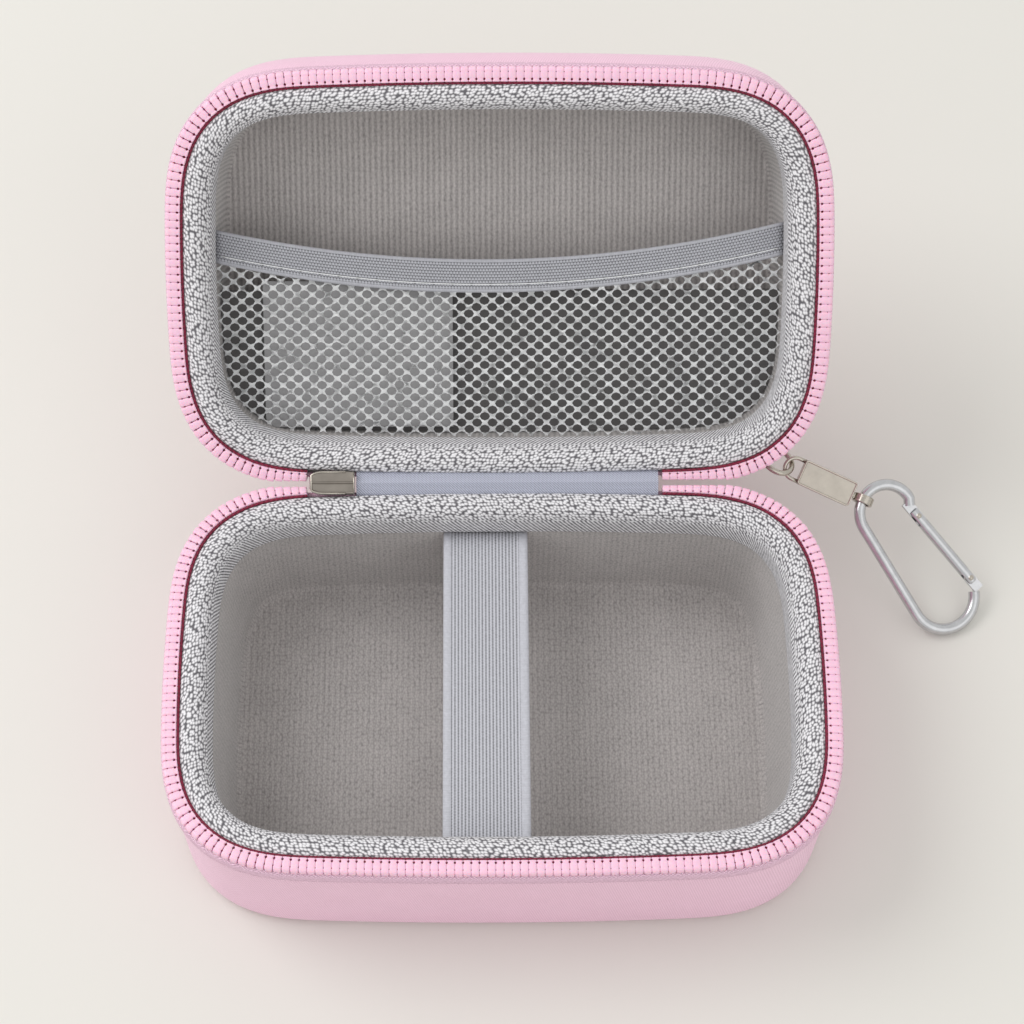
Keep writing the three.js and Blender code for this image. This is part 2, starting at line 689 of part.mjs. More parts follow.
// The pull tab hangs from a pin between the slider's lugs. Its local Z runs up, its pin along Y.
function zipPuller() {
  const neckHalf = LUG_GAP / 2 - SEAM_GAP;
  const outline = [
    [-neckHalf, OVERRUN / 2],
    [-neckHalf, -PULLER_NECK],
    [-PULLER_HALF, -PULLER_NECK - PULLER_HALF],
    [-PULLER_HALF, -PULLER_LENGTH + PULLER_HALF],
    [-PULLER_HALF / 2, -PULLER_LENGTH],
    [PULLER_HALF / 2, -PULLER_LENGTH],
    [PULLER_HALF, -PULLER_LENGTH + PULLER_HALF],
    [PULLER_HALF, -PULLER_NECK - PULLER_HALF],
    [neckHalf, -PULLER_NECK],
    [neckHalf, OVERRUN / 2],
  ].map(([y, z]) => new THREE.Vector2(y, z));
  const tab = prism(outline, PULLER_THICKNESS)
    .translate(0, 0, -PULLER_THICKNESS / 2)
    .rotateX(Math.PI / 2)
    .rotateZ(Math.PI / 2);
  const pin = rod(PULLER_PIN, LUG_GAP + 2 * LUG_WIDTH, WIRE_SIDES).rotateZ(Math.PI / 2);
  return join(tab, pin);
}

const base = new THREE.Group();
const lid = new THREE.Group();
lid.position.set(0, HINGE_Y, HINGE_Z);
lid.rotation.x = -LID_ANGLE;

for (const [half, group] of [['base', base], ['lid', lid]]) {
  group.add(
    sub(`${half}_cover`, cover(half), 'cover'),
    sub(`${half}_foam_shell`, shell(half), 'foam'),
    sub(`${half}_lining`, lining(half), 'lining'),
    sub(`${half}_binding`, binding(half), 'binding'),
    sub(`${half}_piping`, piping(half), 'piping'),
    sub(`${half}_zip_tape`, zipTape(half), 'tape'),
    sub(`${half}_zip_teeth`, zipTeeth(half), 'teeth'),
  );
}
base.add(dividerStrap(), sub('hinge_fabric', hingeFabric(), 'twill'));
lid.add(pocketHem(), pocketNet());
lid.updateMatrixWorld();

const slider = new THREE.Group();
slider.position.set(SLIDER_LEFT, HINGE_Y, HINGE_Z);
slider.rotation.x = (Math.PI - LID_ANGLE) / 2;
const puller = sub('zip_puller', zipPuller(), 'slider');
puller.position.set((SLIDER_RIGHT - SLIDER_LEFT) / 2, 0, SLIDER_BACK_FOOT - LUG_DROP);
slider.add(sub('zip_slider', zipSlider(), 'slider'), puller);

// Directions of the chain and the carabiner: heading about Z, then drop below level, then roll
function turned(heading, drop, roll) {
  return new THREE.Quaternion().setFromEuler(new THREE.Euler(roll, drop, heading, 'ZYX'));
}

function along(quaternion, x, y = 0, z = 0) {
  return new THREE.Vector3(x, y, z).applyQuaternion(quaternion);
}

function pose(mesh, position, quaternion) {
  mesh.position.copy(position);
  mesh.quaternion.copy(quaternion);
  return mesh;
}

// The tab is sewn to the lid's outer wall where the piping line faces the tab's direction
function tabFrame() {
  const facing = (rim) => Math.abs(Math.atan2(rim.ny, rim.nx) - TAB_FACING);
  const rim = RIM.reduce((best, point) => (facing(point) < facing(best) ? point : best));
  const wall = rimPlace(rim, even(COVER_OFFSET - COVER_DRAFT * TAB_DEPTH, TAB_DEPTH, COVER_BACK), 'lid');
  wall.add(new THREE.Vector3(-rim.ny, rim.nx, 0).multiplyScalar(TAB_SHIFT));
  const normal = new THREE.Vector3(rim.nx, rim.ny, 0).transformDirection(lid.matrixWorld);
  return { wall: lid.localToWorld(wall), normal };
}

const ringTurn = turned(CHAIN_HEADING, CHAIN_DROP, RING_ROLL);
const plateTurn = turned(CHAIN_HEADING, CHAIN_DROP, PLATE_ROLL);
const eyeTurn = turned(CHAIN_HEADING, CHAIN_DROP, EYE_ROLL);
const clipTurn = turned(CLIP_HEADING, CLIP_DROP, CLIP_ROLL);
const tab = tabFrame();
const ringNormal = along(ringTurn, 0, 0, 1);
const towardRing = tab.normal.clone().projectOnPlane(ringNormal).normalize();
const eyeCentre = tab.wall.clone().addScaledVector(tab.normal, SEAM_GAP + TAB_EYE_RADIUS);
const ringCentre = eyeCentre.clone().addScaledVector(towardRing, RING_RADIUS);
const plateStart = ringCentre.clone().add(along(plateTurn, RING_RADIUS - LOOP_WIRE - RING_WIRE - LOOP_SLACK + LOOP_REACH));
const plateEnd = plateStart.clone().add(along(plateTurn, PLATE_LENGTH));
const bandCentre = plateEnd.clone().add(along(plateTurn, EYE_REACH));

function clipTab() {
  const legAngle = Math.asin((TAB_STRIP - TAB_EYE_RADIUS) / TAB_EYE_RADIUS);
  const turnSpan = Math.PI * 2 - (Math.PI / 2 + legAngle);
  const outline = [new THREE.Vector2(TAB_LEG, 0)];
  for (let i = 0; i <= ROUND_STEPS; i += 1) {
    const angle = -Math.PI / 2 - (i / ROUND_STEPS) * turnSpan;
    outline.push(new THREE.Vector2(
      TAB_EYE_RADIUS * Math.cos(angle),
      TAB_EYE_RADIUS + TAB_EYE_RADIUS * Math.sin(angle),
    ));
  }
  outline.push(new THREE.Vector2(TAB_LEG, TAB_STRIP));
  const bore = circle(TAB_EYE_BORE, ROUND_STEPS).map((point) => point.add(new THREE.Vector2(0, TAB_EYE_RADIUS)));
  const strip = prism(outline, TAB_WIDTH, [bore]).translate(0, -TAB_EYE_RADIUS, -TAB_WIDTH / 2);
  const mesh = sub('clip_tab', strip, 'tape');
  const axis = new THREE.Vector3().crossVectors(ringNormal, towardRing).negate();
  const leg = new THREE.Vector3().crossVectors(tab.normal, axis);
  mesh.quaternion.setFromRotationMatrix(new THREE.Matrix4().makeBasis(leg, tab.normal, axis));
  mesh.position.copy(eyeCentre);
  return mesh;
}

function chainRing() {
  const ring = new THREE.TorusGeometry(RING_RADIUS, RING_WIRE, WIRE_SIDES, 2 * ROUND_STEPS);
  return pose(sub('chain_ring', fromSolid(toSolid(ring)), 'nickel'), ringCentre, ringTurn);
}

function roundedRectangle(left, right, half, corner) {
  const centres = [[right - corner, half - corner], [left + corner, half - corner],
    [left + corner, corner - half], [right - corner, corner - half]];
  return centres.flatMap(([x, y], quadrant) => [0, 0.5, 1].map((share) => {
    const angle = (quadrant + share) * (Math.PI / 2);
    return new THREE.Vector2(x + corner * Math.cos(angle), y + corner * Math.sin(angle));
  }));
}

function chainPlate() {
  const half = PLATE_WIDTH / 2;
  const body = prism(roundedRectangle(0, PLATE_LENGTH, half, PLATE_CORNER), PLATE_THICKNESS)
    .translate(0, 0, -PLATE_THICKNESS / 2);
  const panel = roundedRectangle(
    PLATE_BORDER,
    PLATE_LENGTH - PLATE_BORDER - POST_DEPTH,
    half - PLATE_BORDER,
    PLATE_CORNER / 2,
  );
  const recess = (side) => prism(panel, PLATE_PANEL + OVERRUN)
    .translate(0, 0, side > 0 ? PLATE_THICKNESS / 2 - PLATE_PANEL : -PLATE_THICKNESS / 2 - OVERRUN);
  const bend = Array.from({ length: 7 }, (_, i) => {
    const angle = Math.PI / 2 + (i / 6) * Math.PI;
    return new THREE.Vector3(LOOP_HALF - LOOP_REACH + LOOP_HALF * Math.cos(angle), LOOP_HALF * Math.sin(angle), 0);
  });
  const root = PLATE_CORNER + LOOP_WIRE;
  const loop = wire([
    new THREE.Vector3(root, LOOP_HALF, 0),
    ...bend,
    new THREE.Vector3(root, -LOOP_HALF, 0),
  ], LOOP_WIRE, WIRE_SIDES, ROUND_STEPS);
  const bore = rod(POST_BORE, POST_DEPTH + OVERRUN)
    .translate(PLATE_LENGTH - POST_DEPTH + (POST_DEPTH + OVERRUN) / 2, 0, 0);
  return pose(sub('chain_plate', cut(join(body, loop), recess(1), recess(-1), bore), 'nickel'), plateStart, plateTurn);
}

function swivelEye() {
  const band = prism(circle(EYE_RADIUS, ROUND_STEPS), EYE_WIDTH, [circle(EYE_BORE, ROUND_STEPS)])
    .translate(0, 0, -EYE_WIDTH / 2)
    .rotateX(Math.PI / 2);
  const reach = EYE_REACH + POST_DEPTH - SEAM_GAP;
  const inner = (EYE_RADIUS + EYE_BORE) / 2;
  const post = rod(POST_RADIUS, reach - inner).translate(-(reach + inner) / 2, 0, 0);
  return pose(sub('swivel_eye', join(band, post), 'nickel'), bandCentre, eyeTurn);
}

// Carabiner frame: X down the spine, Y across towards the gate
const clipOrigin = bandCentre.clone().sub(along(clipTurn, CLIP_BAND_DOWN, CLIP_BAND_ACROSS));
const tail = new THREE.Vector3(CLIP_FOOT, 2 * CLIP_FOOT_RADIUS, 0);
const nose = new THREE.Vector3(NOSE_DOWN, NOSE_ACROSS, 0);
const gateSpan = tail.distanceTo(nose);
const gateAngle = Math.atan2(nose.y - tail.y, nose.x - tail.x);

// Moves a piece from the gate's frame, which starts at the tail pivot, into the carabiner's
function inGate(geometry, distance = 0) {
  return geometry.translate(distance, 0, 0).rotateZ(gateAngle).translate(tail.x, tail.y, 0);
}

function carabinerBody() {
  const arc = (centreDown, radius, from, to, steps) => Array.from({ length: steps + 1 }, (_, i) => {
    const angle = from + ((to - from) * i) / steps;
    return new THREE.Vector3(centreDown + radius * Math.sin(angle), radius - radius * Math.cos(angle), 0);
  });
  const noseEnd = nose.clone().add(new THREE.Vector3(-CLIP_WIRE - SEAM_GAP, CLIP_WIRE / 4, 0));
  const top = arc(CLIP_TOP, CLIP_TOP_RADIUS, -Math.PI, 0, 6);
  const foot = arc(CLIP_FOOT, CLIP_FOOT_RADIUS, 0, Math.PI * FOOT_TURN_SHARE, 6);
  const tube = wire([noseEnd, ...top, ...foot], CLIP_WIRE, WIRE_SIDES, 30);
  const noseReach = 2 * CLIP_WIRE;
  const noseTongue = inGate(bar(noseReach + GATE_SLOT_DEPTH - SEAM_GAP, 2 * TONGUE_RADIUS, TONGUE_THICKNESS),
    gateSpan - (GATE_SLOT_DEPTH - SEAM_GAP) / 2 + noseReach / 2);
  const notch = join(
    rod(NOTCH_BORE, 2 * GATE_SLOT).rotateY(Math.PI / 2),
    bar(2 * NOTCH_BORE, 2 * TONGUE_RADIUS, 2 * GATE_SLOT).translate(0, NOTCH_SIDE * TONGUE_RADIUS, 0),
  );
  const tailTongue = join(
    rod(TONGUE_RADIUS, TONGUE_THICKNESS).rotateY(Math.PI / 2),
    bar(TAIL_REACH, 2 * TONGUE_RADIUS, TONGUE_THICKNESS).translate(-TAIL_REACH / 2, 0, 0),
  );
  const bore = rod(GATE_PIN_BORE, 2 * GATE_SLOT).rotateY(Math.PI / 2);
  const body = join(tube, inGate(tailTongue), noseTongue);
  return cut(body, inGate(bore), inGate(notch, gateSpan - NOSE_PIN_IN));
}

function carabinerGate() {
  const length = gateSpan + GATE_TAIL;
  const slot = (span) => bar(span, 4 * GATE_RADIUS, GATE_SLOT);
  const bore = () => rod(GATE_PIN_BORE, 4 * GATE_RADIUS, WIRE_SIDES).rotateY(Math.PI / 2);
  const springBore = rod(SPRING_BORE, SPRING_BORE_LENGTH, WIRE_SIDES);
  return inGate(cut(
    rod(GATE_RADIUS, length).translate(length / 2 - GATE_TAIL, 0, 0),
    slot(GATE_TAIL + GATE_SLOT_END + OVERRUN).translate((GATE_SLOT_END - GATE_TAIL - OVERRUN) / 2, 0, 0),
    slot(GATE_SLOT_DEPTH + OVERRUN).translate(gateSpan + (OVERRUN - GATE_SLOT_DEPTH) / 2, 0, 0),
    bore(),
    bore().translate(gateSpan - NOSE_PIN_IN, 0, 0),
    springBore.translate(SPRING_BORE_LENGTH / 2 + GATE_SLOT_END - SEAM_GAP, 0, 0),
  ));
}

function gatePin() {
  return rod(GATE_PIN, GATE_PIN_LENGTH, WIRE_SIDES).rotateY(Math.PI / 2);
}

const clip = new THREE.Group();
clip.position.copy(clipOrigin);
clip.quaternion.copy(clipTurn);
clip.add(
  sub('carabiner_body', carabinerBody(), 'nickel'),
  sub('carabiner_gate', carabinerGate(), 'nickel'),
  sub('gate_hinge_pin', inGate(gatePin()), 'nickel'),
  sub('gate_nose_pin', inGate(gatePin(), gateSpan - NOSE_PIN_IN), 'nickel'),
  sub('gate_spring', inGate(rod(SPRING_RADIUS, SPRING_LENGTH, WIRE_SIDES), GATE_SLOT_END + SPRING_LENGTH / 2), 'nickel'),
);

const meterCase = new THREE.Group();
meterCase.add(base, lid, slider, clipTab(), chainRing(), chainPlate(), swivelEye(), clip);

export default meterCase;
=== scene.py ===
"""Glucose meter case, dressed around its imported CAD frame: fabric skins, zip, net pocket, chain and clip."""

import json
from bisect import bisect_right
from math import atan2, ceil, cos, hypot, pi, radians, sin, sqrt

import bmesh
import bpy
from mathutils import Matrix, Vector, noise
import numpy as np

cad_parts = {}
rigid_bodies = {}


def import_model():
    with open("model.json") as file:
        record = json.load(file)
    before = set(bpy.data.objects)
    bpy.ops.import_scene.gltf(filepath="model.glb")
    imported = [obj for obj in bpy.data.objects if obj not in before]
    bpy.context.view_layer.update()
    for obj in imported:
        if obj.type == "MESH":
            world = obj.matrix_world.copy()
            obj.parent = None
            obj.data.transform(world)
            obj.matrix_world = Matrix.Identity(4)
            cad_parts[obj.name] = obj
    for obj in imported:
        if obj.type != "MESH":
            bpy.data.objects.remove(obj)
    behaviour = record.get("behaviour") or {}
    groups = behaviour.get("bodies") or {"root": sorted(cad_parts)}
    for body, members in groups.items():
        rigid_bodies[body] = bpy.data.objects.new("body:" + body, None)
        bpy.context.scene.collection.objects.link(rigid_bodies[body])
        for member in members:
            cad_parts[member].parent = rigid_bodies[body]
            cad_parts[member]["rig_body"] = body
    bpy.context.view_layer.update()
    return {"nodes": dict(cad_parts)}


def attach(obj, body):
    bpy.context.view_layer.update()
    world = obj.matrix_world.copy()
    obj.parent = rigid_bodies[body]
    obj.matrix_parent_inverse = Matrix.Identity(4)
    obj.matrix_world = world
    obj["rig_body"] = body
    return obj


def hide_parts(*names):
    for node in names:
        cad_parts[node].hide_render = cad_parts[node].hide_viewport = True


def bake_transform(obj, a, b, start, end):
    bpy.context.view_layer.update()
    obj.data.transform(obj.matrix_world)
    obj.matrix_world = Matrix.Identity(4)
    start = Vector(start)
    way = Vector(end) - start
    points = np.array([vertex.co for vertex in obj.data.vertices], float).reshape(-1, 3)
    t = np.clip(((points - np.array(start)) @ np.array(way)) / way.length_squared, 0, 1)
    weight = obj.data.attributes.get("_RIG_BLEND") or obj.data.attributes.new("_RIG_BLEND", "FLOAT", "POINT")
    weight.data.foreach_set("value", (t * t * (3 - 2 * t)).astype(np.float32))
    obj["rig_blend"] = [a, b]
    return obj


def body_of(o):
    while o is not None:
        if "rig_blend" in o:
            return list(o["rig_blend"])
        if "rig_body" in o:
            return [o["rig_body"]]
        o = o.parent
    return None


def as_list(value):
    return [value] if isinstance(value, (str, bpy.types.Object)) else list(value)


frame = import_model()

bl_info = {
    "name": "Glucose Meter Case",
    "version": (1, 0, 0),
    "blender": (4, 5, 0),
    "location": "View3D > Sidebar > Meter Case",
    "description": "Builds an open zip case with a net pocket, a divider strap and a small clip",
    "category": "Object",
}

MM = 0.001

# Outline of the piping line, and the fabric hinge
SIDE_BOW = 2.4 * MM
CORNER_POWER = 3
CORNER_STEPS = 24
FLAT_STEPS = 6
MATE_GAP = 1.25 * MM
HINGE_OUT = 2.55 * MM

# Skins of the case, as offsets outwards from the piping line and depths below the rim
COVER_OFFSET = 4.1 * MM
COVER_THICKNESS = 1 * MM
COVER_DRAFT = 0.035
COVER_BACK_GAP = 0.95 * MM
SHELL_TOP = 1.9 * MM
SEAM_GAP = 0.3 * MM
LINING_OFFSET = -5.7 * MM
LINING_THICKNESS = 0.7 * MM
BASE_HEIGHT = 42 * MM
TRAYS = {
    "base": {"floor": BASE_HEIGHT, "corner": 4 * MM, "bulge": 0},
    "lid": {"floor": 27 * MM, "corner": 8 * MM, "bulge": 2.15 * MM},
}
LININGS = {
    "base": {"side_draft": 0.147, "end_draft": 0.039, "floor": 38 * MM, "corner": 2 * MM},
    "lid": {"side_draft": 0.14, "end_draft": 0.098, "floor": 23.5 * MM, "corner": 1.6 * MM},
}
BULGE_START = 5.2 * MM
BULGE_POWER = 3
TRAY_STATIONS = 168
WALL_STEPS = 8
CORNER_ROWS = 6
FLOOR_SHARES = (0.12, 0.3, 0.5, 0.7, 0.86)
QUILT = 0.22 * MM

# Rim binding: a padded roll, a stitched groove and a lip that lies on the lining
BINDING_STATIONS = 220
BINDING_START = -0.16 * MM
BINDING_CROWN = 0.9 * MM
BINDING_FOOT = 1.6 * MM
BINDING_ROLL = ((0, 0.1), (0, 0.6), (0.14, 0.88), (0.37, 1), (0.62, 0.88), (0.83, 0.5), (0.95, 0))
LIP_THICKNESS = 0.5 * MM
LIP_GAP = 0.08 * MM
LIP_DEPTH = 9 * MM
GROOVE_DEPTH = 3.1 * MM
GROOVE_CUT = 0.35 * MM
GROOVE_ABOVE = 0.7 * MM
GROOVE_BELOW = 0.6 * MM
LIP_TAPER = 0.9 * MM
LIP_THINNING = 0.35 * MM
BINDING_SEAT = 0.6 * MM
BINDING_WANDER = 0.16 * MM
WANDER_REACH = 6 * MM
RIPPLE_REACH = 17 * MM
STITCH_LENGTH_SHARE = 0.62
STITCH_RADIUS = 0.22 * MM
STITCH_SINK = 0.4 * MM
STITCH_SHARES = (-0.5, -0.42, -0.2, 0.2, 0.42, 0.5)

# Zip halves and the piping
ZIP_START = -50.2 * MM
ZIP_END = 42 * MM
PIPING_RISE = 0.1 * MM
PIPING_OUT = 0.5 * MM
PIPING_SIDES = 10
TAPE_TOP = 1.15 * MM
TAPE_THICKNESS = 0.45 * MM
TAPE_IN = 0.5 * MM
TAPE_OUT = 4.9 * MM
TAPE_DROP = 5.2 * MM
TAPE_BACK_GAP = 0.35 * MM
TAPE_BEND = 1.2 * MM
TAPE_BEND_BACK = 0.4 * MM
TAPE_ROUND = 0.35 * MM
TAPE_ROUND_BACK = 0.1 * MM
TAPE_ROUND_DROP = 0.12 * MM
TAPE_SHOULDER = 0.6 * MM
TAPE_FOLD = 0.25 * MM
ZIP_STEPS = 200
CORD_STEPS = 260
COIL_IN = 0.82 * MM
COIL_OUT = 4.6 * MM
COIL_TOP = 0.9 * MM
COIL_FOOT = 1.1 * MM
TOOTH_STATIONS = (
    (0, 0.86, 0.84), (0.03, 0.98, 0.96), (0.06, 1, 1), (0.1, 0.92, 0.99), (0.14, 0.74, 0.98),
    (0.22, 0.72, 0.98), (0.26, 0.9, 0.99), (0.31, 1, 1), (0.6, 1, 1), (0.64, 0.95, 0.98),
    (0.68, 0.89, 0.97), (0.72, 0.96, 0.97), (0.77, 1, 0.97), (0.9, 0.97, 0.88), (0.96, 0.86, 0.76),
    (1, 0.62, 0.5))
TOOTH_SECTION = (
    (-0.5, 0), (-0.5, 0.89), (-0.46, 0.95), (-0.3, 0.99), (0, 1), (0.3, 0.99), (0.46, 0.95),
    (0.5, 0.89), (0.5, 0))
COIL_THREADS = ((0.18, 0.24 * MM, 0.5 * MM), (0.68, 0.14 * MM, 0.32 * MM))

# Fabric hinge
HINGE_LEFT = -37.5 * MM
HINGE_RIGHT = 41 * MM
HINGE_LEAF = 11.25 * MM
HINGE_FLANGE = 3 * MM
HINGE_FLANGE_SHARES = ((0.75, 0.58), (0.45, 0.2))
HINGE_SKIN_OUT = 0.1 * MM
HINGE_SKIN_IN = 0.5 * MM
HINGE_CREST = 0.95 * MM
HINGE_BLEND = 0.5 * MM
HINGE_STEPS = 40

# Divider strap and the lid's pocket
BAND_ROUND_IN = 0.12
BAND_ROUND_UP = 0.36
BAND_SHOULDER = 0.4
BAND_UNDER = 0.15
STRAP_THICKNESS = 1.2 * MM
STRAP_CENTRE = -4 * MM
STRAP_DROP = 9.4 * MM
STRAP_EDGE = 2.2 * MM
STRAP_RIBS = 20
STRAP_STEPS = 24
STRAP_SAG = 0.2 * MM
RIB_HEIGHT = 0.16 * MM
POCKET_DROP = 9.4 * MM
HEM_WIDTH = 8.8 * MM
HEM_THICKNESS = 1.2 * MM
HEM_TOP = -4 * MM
HEM_BOW = 10.6 * MM
HEM_SKEW = 0.95 * MM
HEM_STEPS = 72
HEM_ROWS = 9
HEM_EDGE = 0.9 * MM
HEM_STITCH_RISE = 2.3 * MM
HEM_END_SHARE = 0.08
HEM_RIB_SHARE = 0.8
HEM_THREAD_SHARE = 0.98
HEM_THREAD_RADIUS = 0.11 * MM
HEM_THREAD_PROUD = 0.02 * MM
NET_DEPTH = 10 * MM
NET_STRAND = 1.05 * MM
NET_THICKNESS = 0.42 * MM
NET_TUCK = 2.5 * MM
NET_RIPPLE = 0.5 * MM
NET_SPARE_ROWS = 8
NET_STATIONS = 48
NET_SHARE = 0.31
PANEL_SIDES = (-61.5 * MM, -12.3 * MM, 2 * MM, 41 * MM)
PANEL_DEPTH = 11.6 * MM
PANEL_THICKNESS = 0.6 * MM
PANEL_CORNER = 3 * MM
PANEL_CORNER_STEPS = 8
# Dark sheet on the lining behind the net: painted shade of the deep pocket
POCKET_SHADE_STATIONS = 96
POCKET_SHADE_DEPTH = 13.4 * MM
POCKET_SHADE_INSET = 0.3 * MM
POCKET_SHADE_FRONT = 1 * MM

# Zip slider and pull tab
SLIDER_LEFT = -49.6 * MM
SLIDER_LENGTH = 11.7 * MM
SLIDER_HALF = 3 * MM
SLIDER_FOOT = 0.7 * MM
SLIDER_TOP = 2.1 * MM
LUG_RADIUS = 1.3 * MM
LUG_PLACE = -3.4 * MM
LUG_ASIDE = 1 * MM
LUG_THICKNESS = 0.6 * MM
LUG_SIDES = 24
NECK_INSET = 3 * MM
NECK_HALF = 0.8 * MM
NECK_SEAT = 0.2 * MM
BACK_INSET = 1 * MM
BACK_HALF = 1.9 * MM
BACK_FOOT = -2.3 * MM
BACK_TOP = -1.4 * MM
SLIDER_ROUND = 0.15 * MM
RIM_SHARE = 0.93
RIM_SINK = 0.12 * MM
RIM_WIRE = 0.28 * MM
RIM_SIDES = 10
END_SHARE = 0.9
END_SINK = 0.2 * MM
END_WIRE = 0.2 * MM
END_SIDES = 8
SLIDER_SECTION = (
    (-1, 0), (-1, 0.5), (-0.97, 0.72), (-0.9, 0.88), (-0.8, 0.9), (-0.74, 0.8), (-0.12, 0.8), (-0.06, 1),
    (0.04, 1), (0.1, 0.86), (0.78, 0.86), (0.84, 0.93), (0.93, 0.88), (0.98, 0.7), (1, 0.5), (1, 0))
SLIDER_STATIONS = (
    (0, 0.5, 0.45), (0.015, 0.6, 0.8), (0.04, 0.7, 0.97), (0.08, 0.8, 1), (0.14, 0.9, 1), (0.2, 0.96, 1),
    (0.27, 1, 1), (0.8, 1, 1), (0.97, 1, 1), (0.985, 0.99, 0.94), (1, 0.96, 0.7))

# Chain and carabiner, each piece in its own frame: place, heading, drop and roll
CHAIN_HEADING = radians(-18.1)
CHAIN_DROP = radians(18.6)
RING_PLACE = (0.073938, 0.066438, 0.030226)
PLATE_PLACE = (0.080334, 0.064347, 0.027962)
EYE_PLACE = (0.097271, 0.058811, 0.021965)
CLIP_PLACE = (0.095889, 0.054180, 0.019940)
TAB_PLACE = (0.070518, 0.068873, 0.031156)
TAB_NORMAL = (0.555323, -0.594586, -0.581449)
TAB_AXIS = (-0.470047, -0.801182, 0.370357)
TAB_RADIUS = 1.95 * MM
TAB_THICKNESS = 0.55 * MM
TAB_REACH = 5 * MM
TAB_HALF = 1.5 * MM
TAB_WRAP = 1.35 * pi
TAB_STEPS = 20
TAB_STATIONS = ((-1, 0.96), (-0.94, 1), (0.94, 1), (1, 0.96))
TAB_THROAT = (1.9 * MM, -0.6 * MM)
TAB_THROAT_IN = (2.4 * MM, -1.25 * MM)
TAB_TAIL = 1 * MM
RING_ROLL = radians(-17.6)
PLATE_ROLL = radians(27)
EYE_ROLL = radians(21.2)
CLIP_HEADING = radians(-53.2)
CLIP_DROP = radians(28.8)
CLIP_ROLL = radians(5.7)
RING_RADIUS = 4.3 * MM
RING_WIRE = 0.75 * MM
RING_STEPS = 48
PLATE_LENGTH = 15.6 * MM
PLATE_WIDTH = 7 * MM
PLATE_THICKNESS = 2.2 * MM
PLATE_BORDER = 0.45 * MM
PLATE_PANEL = 0.25 * MM
PLATE_CORNER = 0.8 * MM
PLATE_CORNER_SHARE = 0.6
PLATE_CORNER_STEPS = 5
PLATE_EDGE = ((0.16 * MM, 0), (0.04 * MM, 0.07 * MM), (0, 0.25 * MM))
PLATE_BEAD = 0.12 * MM
PLATE_LIP = 0.08 * MM
PLATE_STEP = 0.1 * MM
PANEL_PROUD = 0.03 * MM
LOOP_ROOT = 0.4 * MM
LOOP_STEPS = 24
LOOP_REACH = 4.6 * MM
LOOP_WIRE = 0.54 * MM
LOOP_HALF = 2.9 * MM
EYE_BORE = 2.05 * MM
EYE_RADIUS = 2.75 * MM
EYE_WIDTH = 2.2 * MM
EYE_REACH = 3.2 * MM
EYE_CHAMFER = 0.12 * MM
EYE_BEVEL_SHARES = (0.9, 0.88)
EYE_STEPS = 40
POST_RADIUS = 0.6 * MM
POST_LENGTH = 2.5 * MM
COLLAR_HALF = (0.75 * MM, 0.6 * MM)
COLLAR_GAP = 0.1 * MM
COLLAR_ROUND = 0.2 * MM
CLIP_WIRE = 1.55 * MM
CLIP_TOP_RADIUS = 7.6 * MM
CLIP_FOOT_RADIUS = 9 * MM
CLIP_TOP = 3 * MM
CLIP_FOOT = 30.4 * MM
TOP_TURN = pi
FOOT_TURN = 0.86 * pi
TOP_STEPS = 28
FOOT_STEPS = 32
CLIP_SIDES = 28
NOSE = Vector((6.5 * MM, 14.2 * MM, 0))
NOSE_GAP = 1.6 * MM
NOSE_REACH = 3 * MM
TAIL = Vector((CLIP_FOOT, 2 * CLIP_FOOT_RADIUS, 0))
TAIL_REACH = 4 * MM
GATE_RADIUS = 1.5 * MM
GATE_SLOT = 1.8 * MM
GATE_SLOT_DEPTH = 4.2 * MM
GATE_SLOT_END = 2.2 * MM
GATE_TAIL = 1.4 * MM
GATE_BORE = 0.85 * MM
GATE_SIDES = 32
GATE_TAIL_SLIM = ((0, 0.66), (0.15 * MM, 0.82), (0.4 * MM, 0.96), (0.7 * MM, 1))
GATE_LIP = 0.3 * MM
GATE_LIP_SLIM = 0.97
GATE_TIP = 0.15 * MM
GATE_TIP_SLIM = 0.93
CHEEK_STEPS = 14
TONGUE_THICKNESS = 1.1 * MM
TONGUE_RADIUS = 1.4 * MM
TONGUE_STEPS = 12
NOTCH_BORE = 0.85 * MM
NOTCH_STEPS = 10
RIVET_RADIUS = 0.78 * MM
RIVET_DOME = 0.3 * MM
RIVET_SHANK = 0.5 * MM
RIVET_STEP = 0.1 * MM
RIVET_CROWN = 0.08 * MM
RIVET_CROWN_SHARE = 0.6
WELD = 0.001 * MM
NOSE_PIN_IN = 1.9 * MM
WIRE_SIDES = 20

# Angles from which an edge stays sharp
SHARP = radians(40)
CLOTH_SHARP = radians(50)
PLATE_SHARP = radians(25)
EYE_SHARP = radians(35)

# Grain of the cloths and metals
OXFORD_YARN = (0.62 * MM, 0.56 * MM)
OXFORD_SLANT = 0.22
OXFORD_CLOUD = 9 * MM
FOAM_CELL = 0.8 * MM
FOAM_PIT = 0.2 * MM
KNIT_WARP = 6 * MM
KNIT_DRIFT = 0.4 * MM
KNIT_RIB = 1.5 * MM
KNIT_PEBBLE = (0.6 * MM, 0.85 * MM)
KNIT_NAP = 0.5 * MM
KNIT_PATCH = 7 * MM
KNIT_PILE = 0.2 * MM
BINDING_CLOUD = 11 * MM
BINDING_DRIFT = 2.2 * MM
BINDING_KNOT = (1.0 * MM, 0.8 * MM)
BINDING_STROKE = 1.15 * MM
BINDING_LIP = 0.7 * MM
BINDING_TONE = 1.4 * MM
BINDING_PILE = 0.3 * MM
CORD_TWIST = (1.3 * MM, 2.8 * MM)
CORD_CLOUD = 5 * MM
HERRINGBONE = 4.2 * MM
HERRINGBONE_BAR = 0.95 * MM
TAPE_YARN = 0.5 * MM
TAPE_PILE = 0.22 * MM
COIL_GRAIN = 0.7 * MM
COIL_CLOUD = 6 * MM
COIL_GLOW = 0.8 * MM
